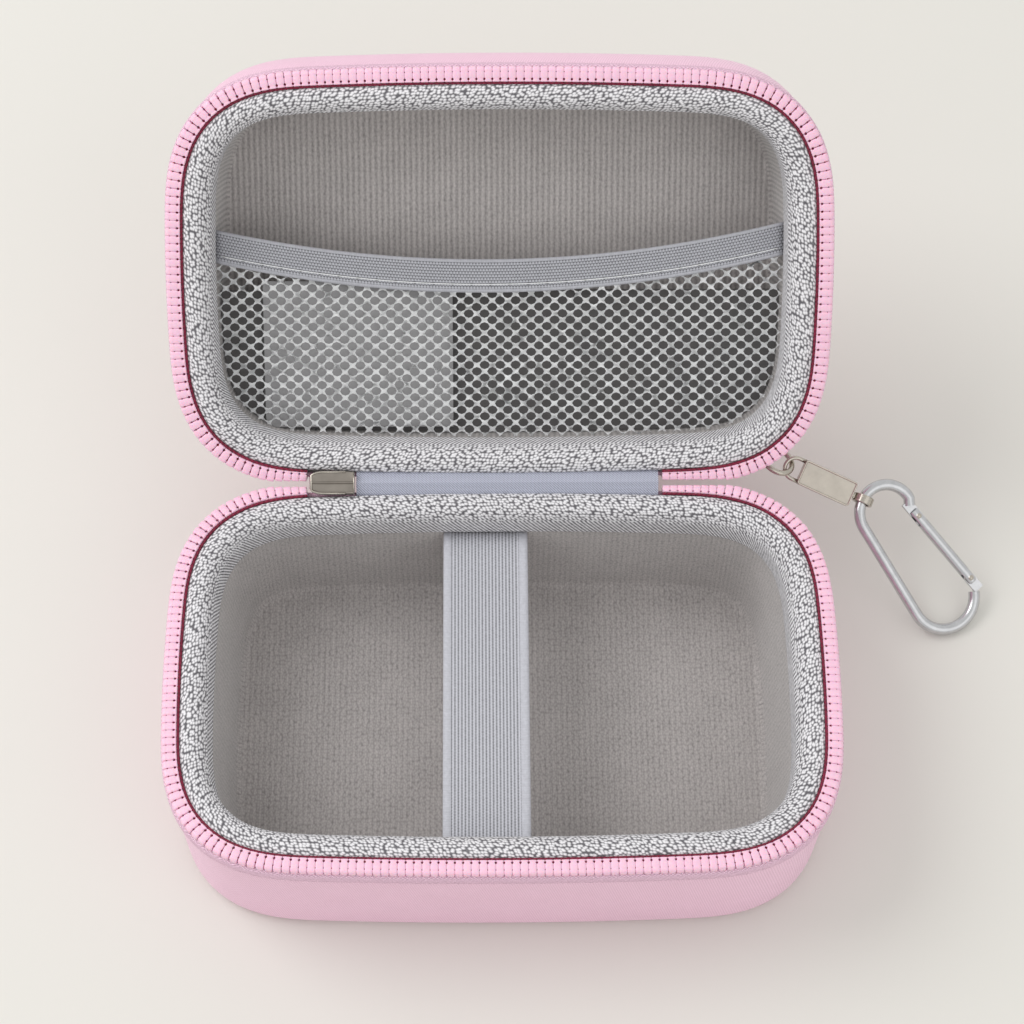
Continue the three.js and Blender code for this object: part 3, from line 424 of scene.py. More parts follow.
ELASTIC_KNOT = 0.8 * MM
ELASTIC_YARN = 0.46 * MM
ELASTIC_GRAIN = 0.9 * MM
ELASTIC_PILE = 0.14 * MM
ELASTIC_MARGIN = 0.1 * MM
NEEDLE_HOLE = 0.25 * MM
CLOTH_GRAIN = 0.8 * MM
CLOTH_PILE = 0.08 * MM
NET_GRAIN = 0.45 * MM
TWILL_PITCH = 0.7 * MM
METAL_WEAR = 2.6 * MM
METAL_SCRATCH = 0.03 * MM
METALS = {
    "dark_nickel": (0.34, 0.25 * MM, 0.2, 0.35),
    "nickel": (0.24, 0.4 * MM, 1.0, 0.35),
    "brushed_nickel": (0.42, 0.14 * MM, 0.5, 0.35),
    "clip_metal": (0.24, 0.5 * MM, 0.25, 0.08),
}
FINE_PILE = 0.1 * MM
WOVEN_PILE = 0.12 * MM
FLOOR_CLOUD = 120 * MM

# Camera and light
CAMERA_PLACE = (-0.00489, -0.29739, 0.68596)
CAMERA_BACK = Vector((-0.01066, -0.46935, 0.88295))
CAMERA_RIGHT = Vector((0.99974, -0.02270, 0))
CAMERA_ROLL = -0.0159
CAMERA_LENS = 98.96
SENSOR = 36
FLOOR_HALF = 3
KEY_LIGHT = ("key_light", (-0.95, 0.3, 1.1), 8.6, 1.0)
FILL_LIGHT = ("fill_light", (0.8, -0.9, 1.0), 2.3, 1.4)
AIR_COLOUR = (0.98, 0.99, 0.975, 1)
AIR_STRENGTH = 0.8


def length_property(name, description, default):
    return bpy.props.FloatProperty(
        name=name, description=description, default=default, subtype="DISTANCE", unit="LENGTH")


class CaseSizes(bpy.types.PropertyGroup):
    """Sizes that a user would change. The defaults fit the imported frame."""

    case_width: length_property("Case width", "Width inside the zip", 161 * MM)
    case_depth: length_property("Case depth", "Depth inside the zip", 100.6 * MM)
    corner_radius: length_property("Corner radius", "Reach of each rounded corner", 33.6 * MM)
    lid_opening: bpy.props.FloatProperty(
        name="Lid opening", description="How far the lid is folded back", default=radians(135.64),
        subtype="ANGLE", unit="ROTATION")
    tooth_pitch: length_property("Tooth pitch", "Distance between two coil teeth", 1.98 * MM)
    piping_radius: length_property("Piping radius", "Radius of the cord beside the zip", 0.36 * MM)
    strap_width: length_property("Strap width", "Width of the elastic divider", 22 * MM)
    net_pitch: length_property("Net pitch", "Distance between two holes of a row", 4.05 * MM)
    net_row: length_property("Net row", "Distance between two rows of holes", 1.72 * MM)
    stitch_pitch: length_property("Stitch pitch", "Distance between two stitches", 4.9 * MM)


def colour_property(name, description, default):
    return bpy.props.FloatVectorProperty(
        name=name, description=description, default=default, subtype="COLOR", size=3, min=0, max=1)


class CaseColours(bpy.types.PropertyGroup):
    """Colours of the finishes, as display values."""

    oxford: colour_property("Oxford", "Woven cover", (0.99, 0.79, 0.875))
    coil: colour_property("Coil", "Zip teeth", (0.99, 0.79, 0.875))
    tape: colour_property("Tape", "Woven zip tape", (0.99, 0.80, 0.885))
    # The cord is real; its dark crimson is painted shade of the cord lying in shadow beside the zip tape
    piping: colour_property("Piping", "Cord beside the zip", (0.47, 0.08, 0.20))
    yarn_light: colour_property("Light yarn", "Light yarn of the binding", (0.95, 0.94, 0.955))
    yarn_dark: colour_property("Dark yarn", "Dark yarn of the binding", (0.38, 0.37, 0.39))
    knit: colour_property("Knit", "Brushed lining", (0.70, 0.675, 0.67))
    elastic: colour_property("Elastic", "Strap and pocket hem", (0.74, 0.74, 0.77))
    net: colour_property("Net", "Pocket net", (0.97, 0.97, 0.975))
    panel: colour_property("Panel", "Inner panel of the pocket", (0.60, 0.595, 0.60))
    # Dark sheet behind the net: painted shade of the deep pocket
    painted_pocket_shade: colour_property("Backing", "Back cloth of the pocket", (0.36, 0.35, 0.35))
    twill: colour_property("Twill", "Hinge strip", (0.74, 0.75, 0.82))
    foam: colour_property("Foam", "Stiff foam shell", (0.55, 0.54, 0.54))
    dark_nickel: colour_property("Dark nickel", "Zip slider", (0.60, 0.57, 0.54))
    nickel: colour_property("Nickel", "Chain", (0.76, 0.73, 0.69))
    clip_metal: colour_property("Clip metal", "Carabiner", (0.80, 0.80, 0.81))
    floor: colour_property("Floor", "Studio floor", (0.885, 0.875, 0.852))


def sizes():
    return bpy.context.scene.case_sizes


def hinge_line():
    """Distance of the hinge line behind the middle of the case, and its height."""
    return sizes().case_depth / 2 + HINGE_OUT, BASE_HEIGHT + MATE_GAP


# Shapes


class Rim:
    """The piping line: a closed curve from the middle of the back, round by the left."""

    def __init__(self, size):
        self.half_width = size.case_width / 2
        self.half_depth = size.case_depth / 2
        quarter = self.quarter(size.corner_radius)
        back = quarter[::-1]
        line = [(-x, y) for x, y in back[:-1]]
        line += [(-x, -y) for x, y in quarter[:-1]]
        line += [(x, -y) for x, y in back[:-1]]
        line += quarter[:-1]
        self.points = line
        self.runs = [0]
        self.normals = []
        count = len(line)
        for i, (x, y) in enumerate(line):
            after, before = line[(i + 1) % count], line[i - 1]
            self.runs.append(self.runs[-1] + hypot(after[0] - x, after[1] - y))
            span = hypot(after[0] - before[0], after[1] - before[1])
            self.normals.append(((after[1] - before[1]) / span, (before[0] - after[0]) / span))
        self.length = self.runs[-1]

    def quarter(self, radius):
        """From the middle of the right side to the middle of the back."""
        straight_x, straight_y = self.half_width - radius, self.half_depth - radius
        points = [(self.half_width, straight_y * k / FLAT_STEPS) for k in range(FLAT_STEPS)]
        for k in range(CORNER_STEPS + 1):
            across, along = cos(k / CORNER_STEPS * pi / 2), sin(k / CORNER_STEPS * pi / 2)
            across, along = max(across, 0), max(along, 0)
            reach = radius / (across**CORNER_POWER + along**CORNER_POWER) ** (1 / CORNER_POWER)
            points.append((straight_x + reach * across, straight_y + reach * along))
        points += [(straight_x * (1 - k / FLAT_STEPS), self.half_depth) for k in range(1, FLAT_STEPS + 1)]
        bowed = []
        for x, y in points:
            across, along = x / self.half_width, y / self.half_depth
            bowed.append((x - SIDE_BOW * along**2 * across, y - SIDE_BOW * across**2 * along))
        return bowed

    def at(self, run):
        """(run, x, y, outward x, outward y) at a distance along the line."""
        wrapped = run % self.length
        i = bisect_right(self.runs, wrapped) - 1
        k = (i + 1) % len(self.points)
        share = (wrapped - self.runs[i]) / (self.runs[i + 1] - self.runs[i])
        x, y = (a + (b - a) * share for a, b in zip(self.points[i], self.points[k]))
        nx, ny = (a + (b - a) * share for a, b in zip(self.normals[i], self.normals[k]))
        span = hypot(nx, ny)
        return run, x, y, nx / span, ny / span

    def run_at(self, x):
        """Distance along the line to a place x on its back."""
        low, high = 0, self.length / 4
        for _ in range(40):
            middle = (low + high) / 2
            if -self.at(middle)[1] < abs(x):
                low = middle
            else:
                high = middle
        return low if x < 0 else self.length - low

    def round(self, count):
        return [self.at(self.length * k / count) for k in range(count)]

    def path(self, start, end, count):
        return [self.at(start + (end - start) * k / count) for k in range(count + 1)]


def to_half(half, x, y, depth):
    """A place of a closed case's half, at its depth below the rim, where it is at rest."""
    if half == "base":
        return Vector((x, y, BASE_HEIGHT - depth))
    hinge_y, hinge_z = hinge_line()
    across, down = y - hinge_y, MATE_GAP + depth
    turn = sizes().lid_opening
    y = hinge_y + cos(turn) * across + sin(turn) * down
    return Vector((x, y, hinge_z - sin(turn) * across + cos(turn) * down))


def offset_place(place, side, end, back=None, bulge=0):
    """(x, y) at an offset from the piping line, which differs between the sides, the back and the front."""
    _, x, y, nx, ny = place
    offset = side * nx * nx + (end + (bulge if ny < 0 else 0)) * ny * ny
    if back is not None and ny > 0:
        offset = min(offset, (back - y) / ny)
    return x + nx * offset, y + ny * offset


def smooth_line(points, steps):
    """Points on a smooth curve through the given ones."""
    ends = [points[0]] + list(points) + [points[-1]]

    def between(p, q, r, s, t):
        square, cube = 2 * p - 5 * q + 4 * r - s, 3 * q - p - 3 * r + s
        return 0.5 * (2 * q + (r - p) * t + square * t * t + cube * t**3)

    line = []
    for four in zip(ends, ends[1:], ends[2:], ends[3:]):
        for k in range(steps):
            line.append(tuple(between(*values, k / steps) for values in zip(*four)))
    return line + [tuple(points[-1])]


def circle(radius, count):
    """Points round a circle."""
    turns = [2 * pi * k / count for k in range(count)]
    return [(radius * cos(turn), radius * sin(turn)) for turn in turns]


def sweep(bm, rows, uv, ring=False, closed=False):
    """Extrudes a row of points from row to row. A ring's ends join; a closed sweep ends at its start.
    uv gives the cloth coordinates of a row and a point of it, for the band of faces that starts at a row."""
    layer = bm.loops.layers.uv.get("cloth") or bm.loops.layers.uv.new("cloth")
    count = len(rows[0])
    row = [bm.verts.new(point) for point in rows[0]]
    first = row
    pairs = list(zip(row, row[1:])) + ([(row[-1], row[0])] if ring else [])
    edges = [bm.edges.new(pair) for pair in pairs]
    for band, target in enumerate(rows[1:] + (rows[:1] if closed else [])):
        made = bmesh.ops.extrude_edge_only(bm, edges=edges)["geom"]
        fresh = {item for item in made if isinstance(item, bmesh.types.BMVert)}
        step = []
        for vert, point in zip(row, target):
            twin = next(e.other_vert(vert) for e in vert.link_edges if e.other_vert(vert) in fresh)
            twin.co = point
            step.append(twin)
        where = {vert: (band, j) for j, vert in enumerate(row)}
        where.update({vert: (band + 1, j) for j, vert in enumerate(step)})
        for face in (item for item in made if isinstance(item, bmesh.types.BMFace)):
            corners = [where[loop.vert] for loop in face.loops]
            wraps = ring and {0, count - 1} <= {j for _, j in corners}
            for loop, (i, j) in zip(face.loops, corners):
                loop[layer].uv = uv(i, count if wraps and j == 0 else j, band)
        edges = [e for e in made if isinstance(e, bmesh.types.BMEdge) and fresh.issuperset(e.verts)]
        row = step
    if closed:
        bmesh.ops.weld_verts(bm, targetmap=dict(zip(row, first)))


def close_up(bm):
    """Fills the open ends and turns every face outwards."""
    open_edges = [edge for edge in bm.edges if edge.is_boundary]
    if open_edges:
        bmesh.ops.holes_fill(bm, edges=open_edges, sides=0)
    bmesh.ops.recalc_face_normals(bm, faces=bm.faces)


def swept(rows, uv, closed=False):
    """A closed mesh from one sweep of ring rows."""
    bm = bmesh.new()
    sweep(bm, rows, uv, ring=True, closed=closed)
    close_up(bm)
    return bm


def lengths(points, closed=False):
    """Distances along a line of points."""
    line = list(points) + ([points[0]] if closed else [])
    runs = [0]
    for a, b in zip(line, line[1:]):
        runs.append(runs[-1] + (Vector(b) - Vector(a)).length)
    return runs


def piece(name, bm, body, finish, replaces=(), sharp=None, blend=None):
    """Makes the mesh an object of the scene that rides on a body, with the finish's material."""
    mesh = bpy.data.meshes.new(name)
    bm.to_mesh(mesh)
    bm.free()
    for polygon in mesh.polygons:
        polygon.use_smooth = True
    if sharp is not None:
        mesh.set_sharp_from_angle(angle=sharp)
    obj = bpy.data.objects.new(name, mesh)
    bpy.context.scene.collection.objects.link(obj)
    mesh.materials.append(material(finish))
    if blend:
        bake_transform(obj, *blend)
    else:
        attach(obj, body)
    if replaces:
        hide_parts(*replaces)
    return obj


def slab(bm, place, outline, foot, top):
    """A closed slab on an outline in the XY plane of a place."""
    rows = [[place @ Vector((x, y, z)) for x, y in outline] for z in (foot, top)]
    sweep(bm, rows, lambda i, j, band: (i, j / len(outline)), ring=True)


def rounded_box(bm, place, low, high, round_off):
    """A box between two corners, with its edges rounded."""
    made = bmesh.ops.create_cube(bm, size=1)["verts"]
    low, high = Vector(low), Vector(high)
    grow = Matrix.Diagonal((*(high - low), 1))
    bmesh.ops.transform(bm, verts=made, matrix=place @ Matrix.Translation((low + high) / 2) @ grow)
    edges = list({edge for vert in made for edge in vert.link_edges})
    bmesh.ops.bevel(bm, geom=edges, offset=round_off, segments=2, profile=0.5, affect="EDGES", material=-1)


def body_name(half):
    return "case_base" if half == "base" else "lid"


def tray_face(side, end, side_draft, end_draft, top, floor, corner, back=None, bulge=0):
    """Rows (side, end, depth, back, bulge, flat) from a tray's top edge down its wall to its floor."""
    turn = floor - corner

    def at(depth, inset, flat):
        inner_back = None if back is None else back - inset
        share = min(max((depth - BULGE_START) / (turn - BULGE_START), 0), 1)
        swell = bulge * (1 - (1 - share) ** BULGE_POWER)
        wall = side - side_draft * depth - inset, end - end_draft * depth - inset
        return *wall, depth, inner_back, swell, flat

    rows = [at(top + (turn - top) * k / WALL_STEPS, 0, False) for k in range(WALL_STEPS)]
    for k in range(CORNER_ROWS + 1):
        angle = k / CORNER_ROWS * pi / 2
        rows.append(at(turn + corner * sin(angle), corner * (1 - cos(angle)), 2 * k > CORNER_ROWS))
    return rows


def outer_face(half, inset):
    shell = TRAYS[half]
    offset = COVER_OFFSET - inset
    back = hinge_line()[0] - COVER_BACK_GAP - inset
    return tray_face(offset, offset, COVER_DRAFT, COVER_DRAFT, SHELL_TOP, shell["floor"] - inset,
                     shell["corner"] - inset, back, shell["bulge"])


def inner_face(half, outset):
    lining = LININGS[half]
    offset = LINING_OFFSET + outset
    return tray_face(offset, offset, lining["side_draft"], lining["end_draft"], SHELL_TOP,
                     lining["floor"] + outset, lining["corner"] + outset)


def ripple(x, y, depth, reach):
    """Slow unevenness of a soft skin."""
    return reach * noise.noise(Vector((x, y, depth)) / RIPPLE_REACH)


def tray(half, outer, inner, soft):
    """A closed shell from the middle of its underside, over its rim, to the middle of its floor."""
    places = Rim(sizes()).round(TRAY_STATIONS)
    section = [(row, share) for share in FLOOR_SHARES for row in outer[-1:]]
    section += [(row, 1) for row in outer[::-1] + inner]
    section += [(row, share) for share in FLOOR_SHARES[::-1] for row in inner[-1:]]
    rows, plan, flats = [], [], []
    for (side, end, depth, back, bulge, flat), share in section:
        spots = [offset_place(place, side, end, back, bulge) for place in places]
        spots = [(x * share, y * share) for x, y in spots]
        plan.append(spots + spots[:1])
        flats.append(flat)
        dips = [ripple(x, y, depth, soft) if flat else 0 for x, y in spots]
        rows.append([to_half(half, x, y, depth + dip) for (x, y), dip in zip(spots, dips)])
    drops = lengths([(row[0], row[2], 0) for row, _ in section])
    runs = [place[0] for place in places] + [Rim(sizes()).length]

    def uv(i, j, band):
        if flats[band] and flats[min(band + 1, len(flats) - 1)]:
            return plan[i][j]
        return runs[j], drops[i]

    return swept(rows, uv)


def strip(half, section, places, closed, wander=None, seam=0):
    """A skin with a closed section of (side, end, depth, back) that follows the piping line.
    The cloth is measured across from a seam at one depth."""
    rows = []
    for place in places:
        row = []
        for j, (side, end, depth, back) in enumerate(section):
            lift = wander(place, j) if wander else 0
            x, y = offset_place(place, side, end, back)
            row.append(to_half(half, x, y, depth - lift))
        rows.append(row)
    across = lengths([(side, depth, 0) for side, _, depth, _ in section], closed=True)
    if seam:
        start = next(run for run, point in zip(across, section) if point[2] >= seam)
        across = [run - start for run in across]
    runs = [place[0] for place in places] + [Rim(sizes()).length]
    return swept(rows, lambda i, j, band: (runs[i], across[j]), closed)


def on_lining(half, depth, inset):
    lining = LININGS[half]
    side = LINING_OFFSET - lining["side_draft"] * depth - inset
    end = LINING_OFFSET - lining["end_draft"] * depth - inset
    return side, end, depth, None


def even(offset, depth, back=None):
    return offset, offset, depth, back


def binding_section(half):
    """The roll bulges inwards from the piping, then comes the stitched groove and the lip."""
    proud = LIP_GAP + LIP_THICKNESS
    reach = on_lining(half, BINDING_FOOT, LIP_THICKNESS)
    crown = []
    for across, up in BINDING_ROLL:
        side = -BINDING_START + (reach[0] + BINDING_START) * across
        end = -BINDING_START + (reach[1] + BINDING_START) * across
        crown.append((side, end, BINDING_FOOT - (BINDING_FOOT + BINDING_CROWN) * up))
    for depth, inset in (
            (GROOVE_DEPTH - GROOVE_ABOVE, proud), (GROOVE_DEPTH, proud - GROOVE_CUT),
            (GROOVE_DEPTH + GROOVE_BELOW, proud), (LIP_DEPTH - LIP_TAPER, proud),
            (LIP_DEPTH, proud - LIP_THINNING)):
        crown.append(on_lining(half, depth, inset)[:3])
    section = [point + (None,) for point in smooth_line(crown, 3)]
    section.append(on_lining(half, LIP_DEPTH, LIP_GAP))
    section.append(on_lining(half, BINDING_FOOT + BINDING_SEAT, LIP_GAP))
    section.append(even(-BINDING_START, BINDING_FOOT))
    return section


def stitches(seats, length):
    """Short threads that dip into the cloth at both ends, from (point, tangent, up) places."""
    bm = bmesh.new()
    for point, along, up in seats:
        side = along.cross(up).normalized()
        rows = []
        for share in STITCH_SHARES:
            lift = -STITCH_SINK * (abs(share) * 2) ** 4
            centre = point + along * (length * share) + up * lift
            rows.append([centre + side * across + up * rise for across, rise in circle(STITCH_RADIUS, 6)])
        sweep(bm, rows, lambda i, j, band: (i, j), ring=True)
    close_up(bm)
    return bm


def ribbed_band(rib_count, width, thickness, edge, height):
    """Section (across, up) of an elastic with ribs between its smooth edges, as a closed ring."""
    half = width / 2
    ribs = []
    inner = half - edge
    for k in range(rib_count * 4 + 1):
        across = -inner + 2 * inner * k / (rib_count * 4)
        ribs.append((across, thickness / 2 - height * (0.5 + 0.5 * cos(2 * pi * k / 4))))
    round_in, round_up = thickness * BAND_ROUND_IN, thickness * BAND_ROUND_UP
    top = [(-half, 0), (-half + round_in, round_up), (-half + edge * BAND_SHOULDER, thickness / 2)]
    top.append((-inner - height, thickness / 2))
    mirror = [(-x, y) for x, y in top[::-1]]
    tuck = thickness * BAND_UNDER
    under = [(half - tuck, -thickness / 2), (-half + tuck, -thickness / 2)]
    return top + ribs + mirror + under


# Shader maths


class Term:
    """A value of a shader. Python's operators on it add Math nodes."""

    def __init__(self, graph, socket):
        self.graph = graph
        self.socket = socket

    def maths(self, operation, *others):
        return self.graph.node("ShaderNodeMath", {"operation": operation}, dict(enumerate((self,) + others)))

    def __add__(self, other):
        return self.maths("ADD", other)

    def __sub__(self, other):
        return self.maths("SUBTRACT", other)

    def __mul__(self, other):
        return self.maths("MULTIPLY", other)

    def __truediv__(self, other):
        return self.maths("DIVIDE", other)

    def __pow__(self, other):
        return self.maths("POWER", other)

    def __gt__(self, other):
        return self.maths("GREATER_THAN", other)

    def __mod__(self, other):
        return self.maths("FLOORED_MODULO", other)

    def __neg__(self):
        return self.maths("MULTIPLY", -1)

    def __abs__(self):
        return self.maths("ABSOLUTE")

    def __rsub__(self, other):
        return self.graph.node("ShaderNodeMath", {"operation": "SUBTRACT"}, {0: other, 1: self})

    __radd__ = __add__
    __rmul__ = __mul__

    def sin(self):
        return self.maths("SINE")

    def floor(self):
        return self.maths("FLOOR")


class Graph:
    """A material's nodes round one principled shader."""

    def __init__(self, name):
        self.material = bpy.data.materials.new(name)
        self.material.use_nodes = True
        self.tree = self.material.node_tree
        self.tree.nodes.clear()
        self.shader = self.tree.nodes.new("ShaderNodeBsdfPrincipled")
        output = self.tree.nodes.new("ShaderNodeOutputMaterial")
        self.tree.links.new(self.shader.outputs[0], output.inputs[0])

    def node(self, kind, settings=None, inputs=None, output=0):
        made = self.tree.nodes.new(kind)
        for key, value in (settings or {}).items():
            if key == "stops":
                ramp = made.color_ramp.elements
                while len(ramp) < len(value):
                    ramp.new(1)
                for element, (position, colour) in zip(ramp, value):
                    element.position = position
                    element.color = (*colour, 1)
            else:
                setattr(made, key, value)
        for key, value in (inputs or {}).items():
            self.feed(made.inputs[key], value)
        return Term(self, made.outputs[output])

    def feed(self, socket, value):
        if isinstance(value, Term):
            self.tree.links.new(value.socket, socket)
        elif hasattr(value, "__len__") and socket.type == "RGBA":
            socket.default_value = (*value, 1)
        else:
            socket.default_value = value

    def set(self, **inputs):
        for name, value in inputs.items():
            self.feed(self.shader.inputs[name.replace("_", " ")], value)

    def cloth(self):
        """The cloth's own coordinates, in metres along and across it."""
        uv = self.node("ShaderNodeUVMap", {"uv_map": "cloth"})
        parts = self.tree.nodes.new("ShaderNodeSeparateXYZ")
        self.feed(parts.inputs[0], uv)
        return Term(self, parts.outputs[0]), Term(self, parts.outputs[1])

    def place(self):
        """The point of the object, and its three parts, in metres."""
        point = self.node("ShaderNodeTexCoord", output="Object")
        parts = self.tree.nodes.new("ShaderNodeSeparateXYZ")
        self.feed(parts.inputs[0], point)
        return point, [Term(self, parts.outputs[k]) for k in range(3)]

    def cloud(self, vector, size, detail=3, rough=0.55):
        """Soft noise from 0 to 1, of a grain size in metres."""
        settings = {"Vector": vector, "Scale": 1 / size, "Detail": detail, "Roughness": rough}
        return self.node("ShaderNodeTexNoise", None, settings)

    def pair(self, u, v):
        return self.node("ShaderNodeCombineXYZ", None, {0: u, 1: v})

    def mix(self, share, low, high):
        """A colour between two others."""
        return self.node("ShaderNodeMix", {"data_type": "RGBA"}, {0: share, 6: low, 7: high}, output=2)

    def tones(self, share, colour, low, high):
        """A colour between a darker and a lighter one of its kind."""
        return self.mix(share, tint(colour, low), tint(colour, high))

    def clamp(self, value, low=0, high=1):
        return self.node("ShaderNodeClamp", None, {0: value, 1: low, 2: high})

    def pebble(self, u, v, pitch_u, pitch_v, loose):
        """Distance from the nearest of the dots of a more or less regular pattern, in pitches."""
        settings = {"Vector": self.pair(u / pitch_u, v / pitch_v), "Scale": 1, "Randomness": loose}
        return self.node("ShaderNodeTexVoronoi", {"voronoi_dimensions": "2D"}, settings)

    def bump(self, height, distance, strength=1.0):
        self.set(Normal=self.node("ShaderNodeBump", None, {
            "Strength": strength, "Distance": distance, "Height": height}))


def linear(colour):
    """Shader colour of a display colour."""
    return tuple(c / 12.92 if c <= 0.04045 else ((c + 0.055) / 1.055) ** 2.4 for c in colour)


def tint(colour, share):
    return tuple(min(1, c * share) for c in colour)


def plain_weave(u, v, pitch_u, pitch_v):
    """(height of the yarns, 1 where the crossing yarn lies on top) of a plain weave."""
    wave = (u * (pi / pitch_u)).sin() * (v * (pi / pitch_v)).sin()
    return abs(wave) ** 0.6, wave > 0


def pink_oxford(graph, colours):
    colour = linear(colours.oxford)
    u, v = graph.cloth()
    slant_u, slant_v = u + v * OXFORD_SLANT, v - u * OXFORD_SLANT
    height, over = plain_weave(slant_u, slant_v, *OXFORD_YARN)
    point, _ = graph.place()
    slow = graph.cloud(point, OXFORD_CLOUD)
    shade = graph.clamp(height * 0.75 + over * 0.15 + slow * 0.2 + 0.02)
    graph.set(Base_Color=graph.tones(shade, colour, 0.7, 1.12), Roughness=0.82, Sheen_Weight=0.25,
              Sheen_Roughness=0.45)
    graph.bump(height, WOVEN_PILE, 0.55)


def foam(graph, colours):
    point, _ = graph.place()
    cells = graph.node("ShaderNodeTexVoronoi", None, {"Vector": point, "Scale": 1 / FOAM_CELL})
    colour = linear(colours.foam)
    graph.set(Base_Color=graph.mix(cells, tint(colour, 0.8), colour), Roughness=0.95)
    graph.bump(cells, FOAM_PIT)


def knit_finish(graph, colours, ribbed, pebbled):
    colour = linear(colours.knit)
    u, v = graph.cloth()
    point, _ = graph.place()
    warp = graph.cloud(point, KNIT_WARP)
    ribs = ((u + warp * KNIT_DRIFT) * (2 * pi / KNIT_RIB)).sin()
    pebble = graph.pebble(u, v, *KNIT_PEBBLE, 0.8)
    nap = graph.cloud(graph.pair(u, v * 0.45), KNIT_NAP, 4, 0.7)
    patch = graph.cloud(point, KNIT_PATCH, 4, 0.6)
    shade = ribs * ribbed - pebble * pebbled + (nap - 0.5) * 0.9 + (patch - 0.5) * 0.3
    shade = graph.clamp(shade + 0.5 + pebbled * 0.4)
    graph.set(Base_Color=graph.tones(shade, colour, 0.45, 1.35), Roughness=0.95, Sheen_Weight=0.35,
              Sheen_Roughness=0.6)
    graph.bump(nap * 0.5 - pebble * pebbled + ribs * ribbed, KNIT_PILE, 0.7)


def brushed_knit(graph, colours):
    knit_finish(graph, colours, 0.08, 0.5)


def ribbed_knit(graph, colours):
    knit_finish(graph, colours, 0.2, 0.3)


def heather_binding(graph, colours):
    """Pale knots on the roll, and slanting strokes on its inner flank and lip."""
    light, dark = linear(colours.yarn_light), linear(colours.yarn_dark)
    u, v = graph.cloth()
    point, _ = graph.place()
    drift = graph.cloud(point, BINDING_CLOUD)
    along = u + drift * BINDING_DRIFT + v * 0.35
    knots = graph.clamp(1.62 - graph.pebble(along, v, *BINDING_KNOT, 0.7) * 2.5)
    strokes = graph.clamp(abs(((u + v * 0.75) / BINDING_STROKE) % 1 - 0.5) * 4.2 - 0.5)
    lip = graph.clamp(v / BINDING_LIP + 2.6)
    tone = graph.cloud(point, BINDING_TONE)
    shade = graph.clamp(knots + lip * (strokes * 0.8 + knots * 0.2 - knots) + (tone - 0.5) * 0.5)
    graph.set(Base_Color=graph.mix(shade, dark, light), Roughness=0.86, Sheen_Weight=0.2,
              Sheen_Roughness=0.5)
    graph.bump(shade, BINDING_PILE, 0.8)


def crimson_piping(graph, colours):
    # A real cord; its dark crimson colour is painted shade of the cord lying in shadow beside the zip tape
    colour = linear(colours.piping)
    u, v = graph.cloth()
    twist = (u * (2 * pi / CORD_TWIST[0]) + v * (2 * pi / CORD_TWIST[1])).sin()
    point, _ = graph.place()
    slow = graph.cloud(point, CORD_CLOUD)
    shade = graph.clamp(twist * 0.25 + slow * 0.9)
    graph.set(Base_Color=graph.tones(shade, colour, 0.55, 1.5), Roughness=0.7)
    graph.bump(twist, WOVEN_PILE, 0.6)


def zip_tape(graph, colours):
    colour = linear(colours.tape)
    u, v = graph.cloth()
    zigzag = abs((u / HERRINGBONE) % 1 - 0.5) * HERRINGBONE
    bars = ((zigzag * 0.9 + v) * (2 * pi / HERRINGBONE_BAR)).sin()
    height, _ = plain_weave(u, v, TAPE_YARN, TAPE_YARN)
    shade = graph.clamp(0.6 + bars * 0.4 + height * 0.2)
    graph.set(Base_Color=graph.tones(shade, colour, 0.66, 1.12), Roughness=0.8)
    graph.bump(bars * 0.8 + height * 0.2, TAPE_PILE, 0.8)


def zip_coil(graph, colours):
    colour = linear(colours.coil)
    point, _ = graph.place()
    grain = graph.cloud(point, COIL_GRAIN)
    slow = graph.cloud(point, COIL_CLOUD)
    shade = graph.clamp(grain * 0.6 + slow * 0.5)
    graph.set(Base_Color=graph.tones(shade, colour, 0.86, 1.08), Roughness=0.48,
              Subsurface_Weight=0.15, Subsurface_Scale=COIL_GLOW)
    graph.bump(grain, FINE_PILE, 0.35)


def elastic_finish(graph, colour, width, edge, ribs, knots, seam=None):
    """Ribs with painted shade in the grooves between them, inside plain edges."""
    along, across = graph.cloth()
    pitch = (width - 2 * edge) / ribs
    inside = (across > edge - ELASTIC_MARGIN) * (-across > ELASTIC_MARGIN + edge - width)
    # groove is 1 in the crease between two ribs, where the colour is darkened: painted shade
    groove = abs(((across - edge) / pitch) % 1 - 0.5) * 2
    weave = (along * (2 * pi / ELASTIC_KNOT) + (across / pitch).floor() * pi).sin()
    yarns = (along * (2 * pi / ELASTIC_YARN)).sin()
    point, _ = graph.place()
    grain = graph.cloud(point, ELASTIC_GRAIN)
    ribbed = 1.05 - groove ** 1.6 + weave * knots
    shade = graph.clamp(inside * (ribbed - 0.85) + 0.85 + yarns * 0.06 + (grain - 0.5) * 0.5)
    # Needle holes along the seam are darkened: painted shade in the holes
    if seam:
        step = sizes().stitch_pitch
        aside = abs((along / step) % 1 - 0.5) * step
        hole = (aside ** 2 + (across - seam) ** 2) ** 0.5
        shade = shade * graph.clamp(hole / NEEDLE_HOLE - 1)
    graph.set(Base_Color=graph.tones(shade, colour, 0.3, 1.15), Roughness=0.8, Sheen_Weight=0.15)
    graph.bump(shade, ELASTIC_PILE, 0.7)


def strap_elastic(graph, colours):
    width = sizes().strap_width
    elastic_finish(graph, linear(colours.elastic), width, STRAP_EDGE, STRAP_RIBS, 0.12)


def hem_elastic(graph, colours):
    elastic_finish(graph, tint(linear(colours.elastic), 0.8), HEM_WIDTH, HEM_EDGE, HEM_ROWS, 0.5,
                   HEM_WIDTH - HEM_STITCH_RISE)


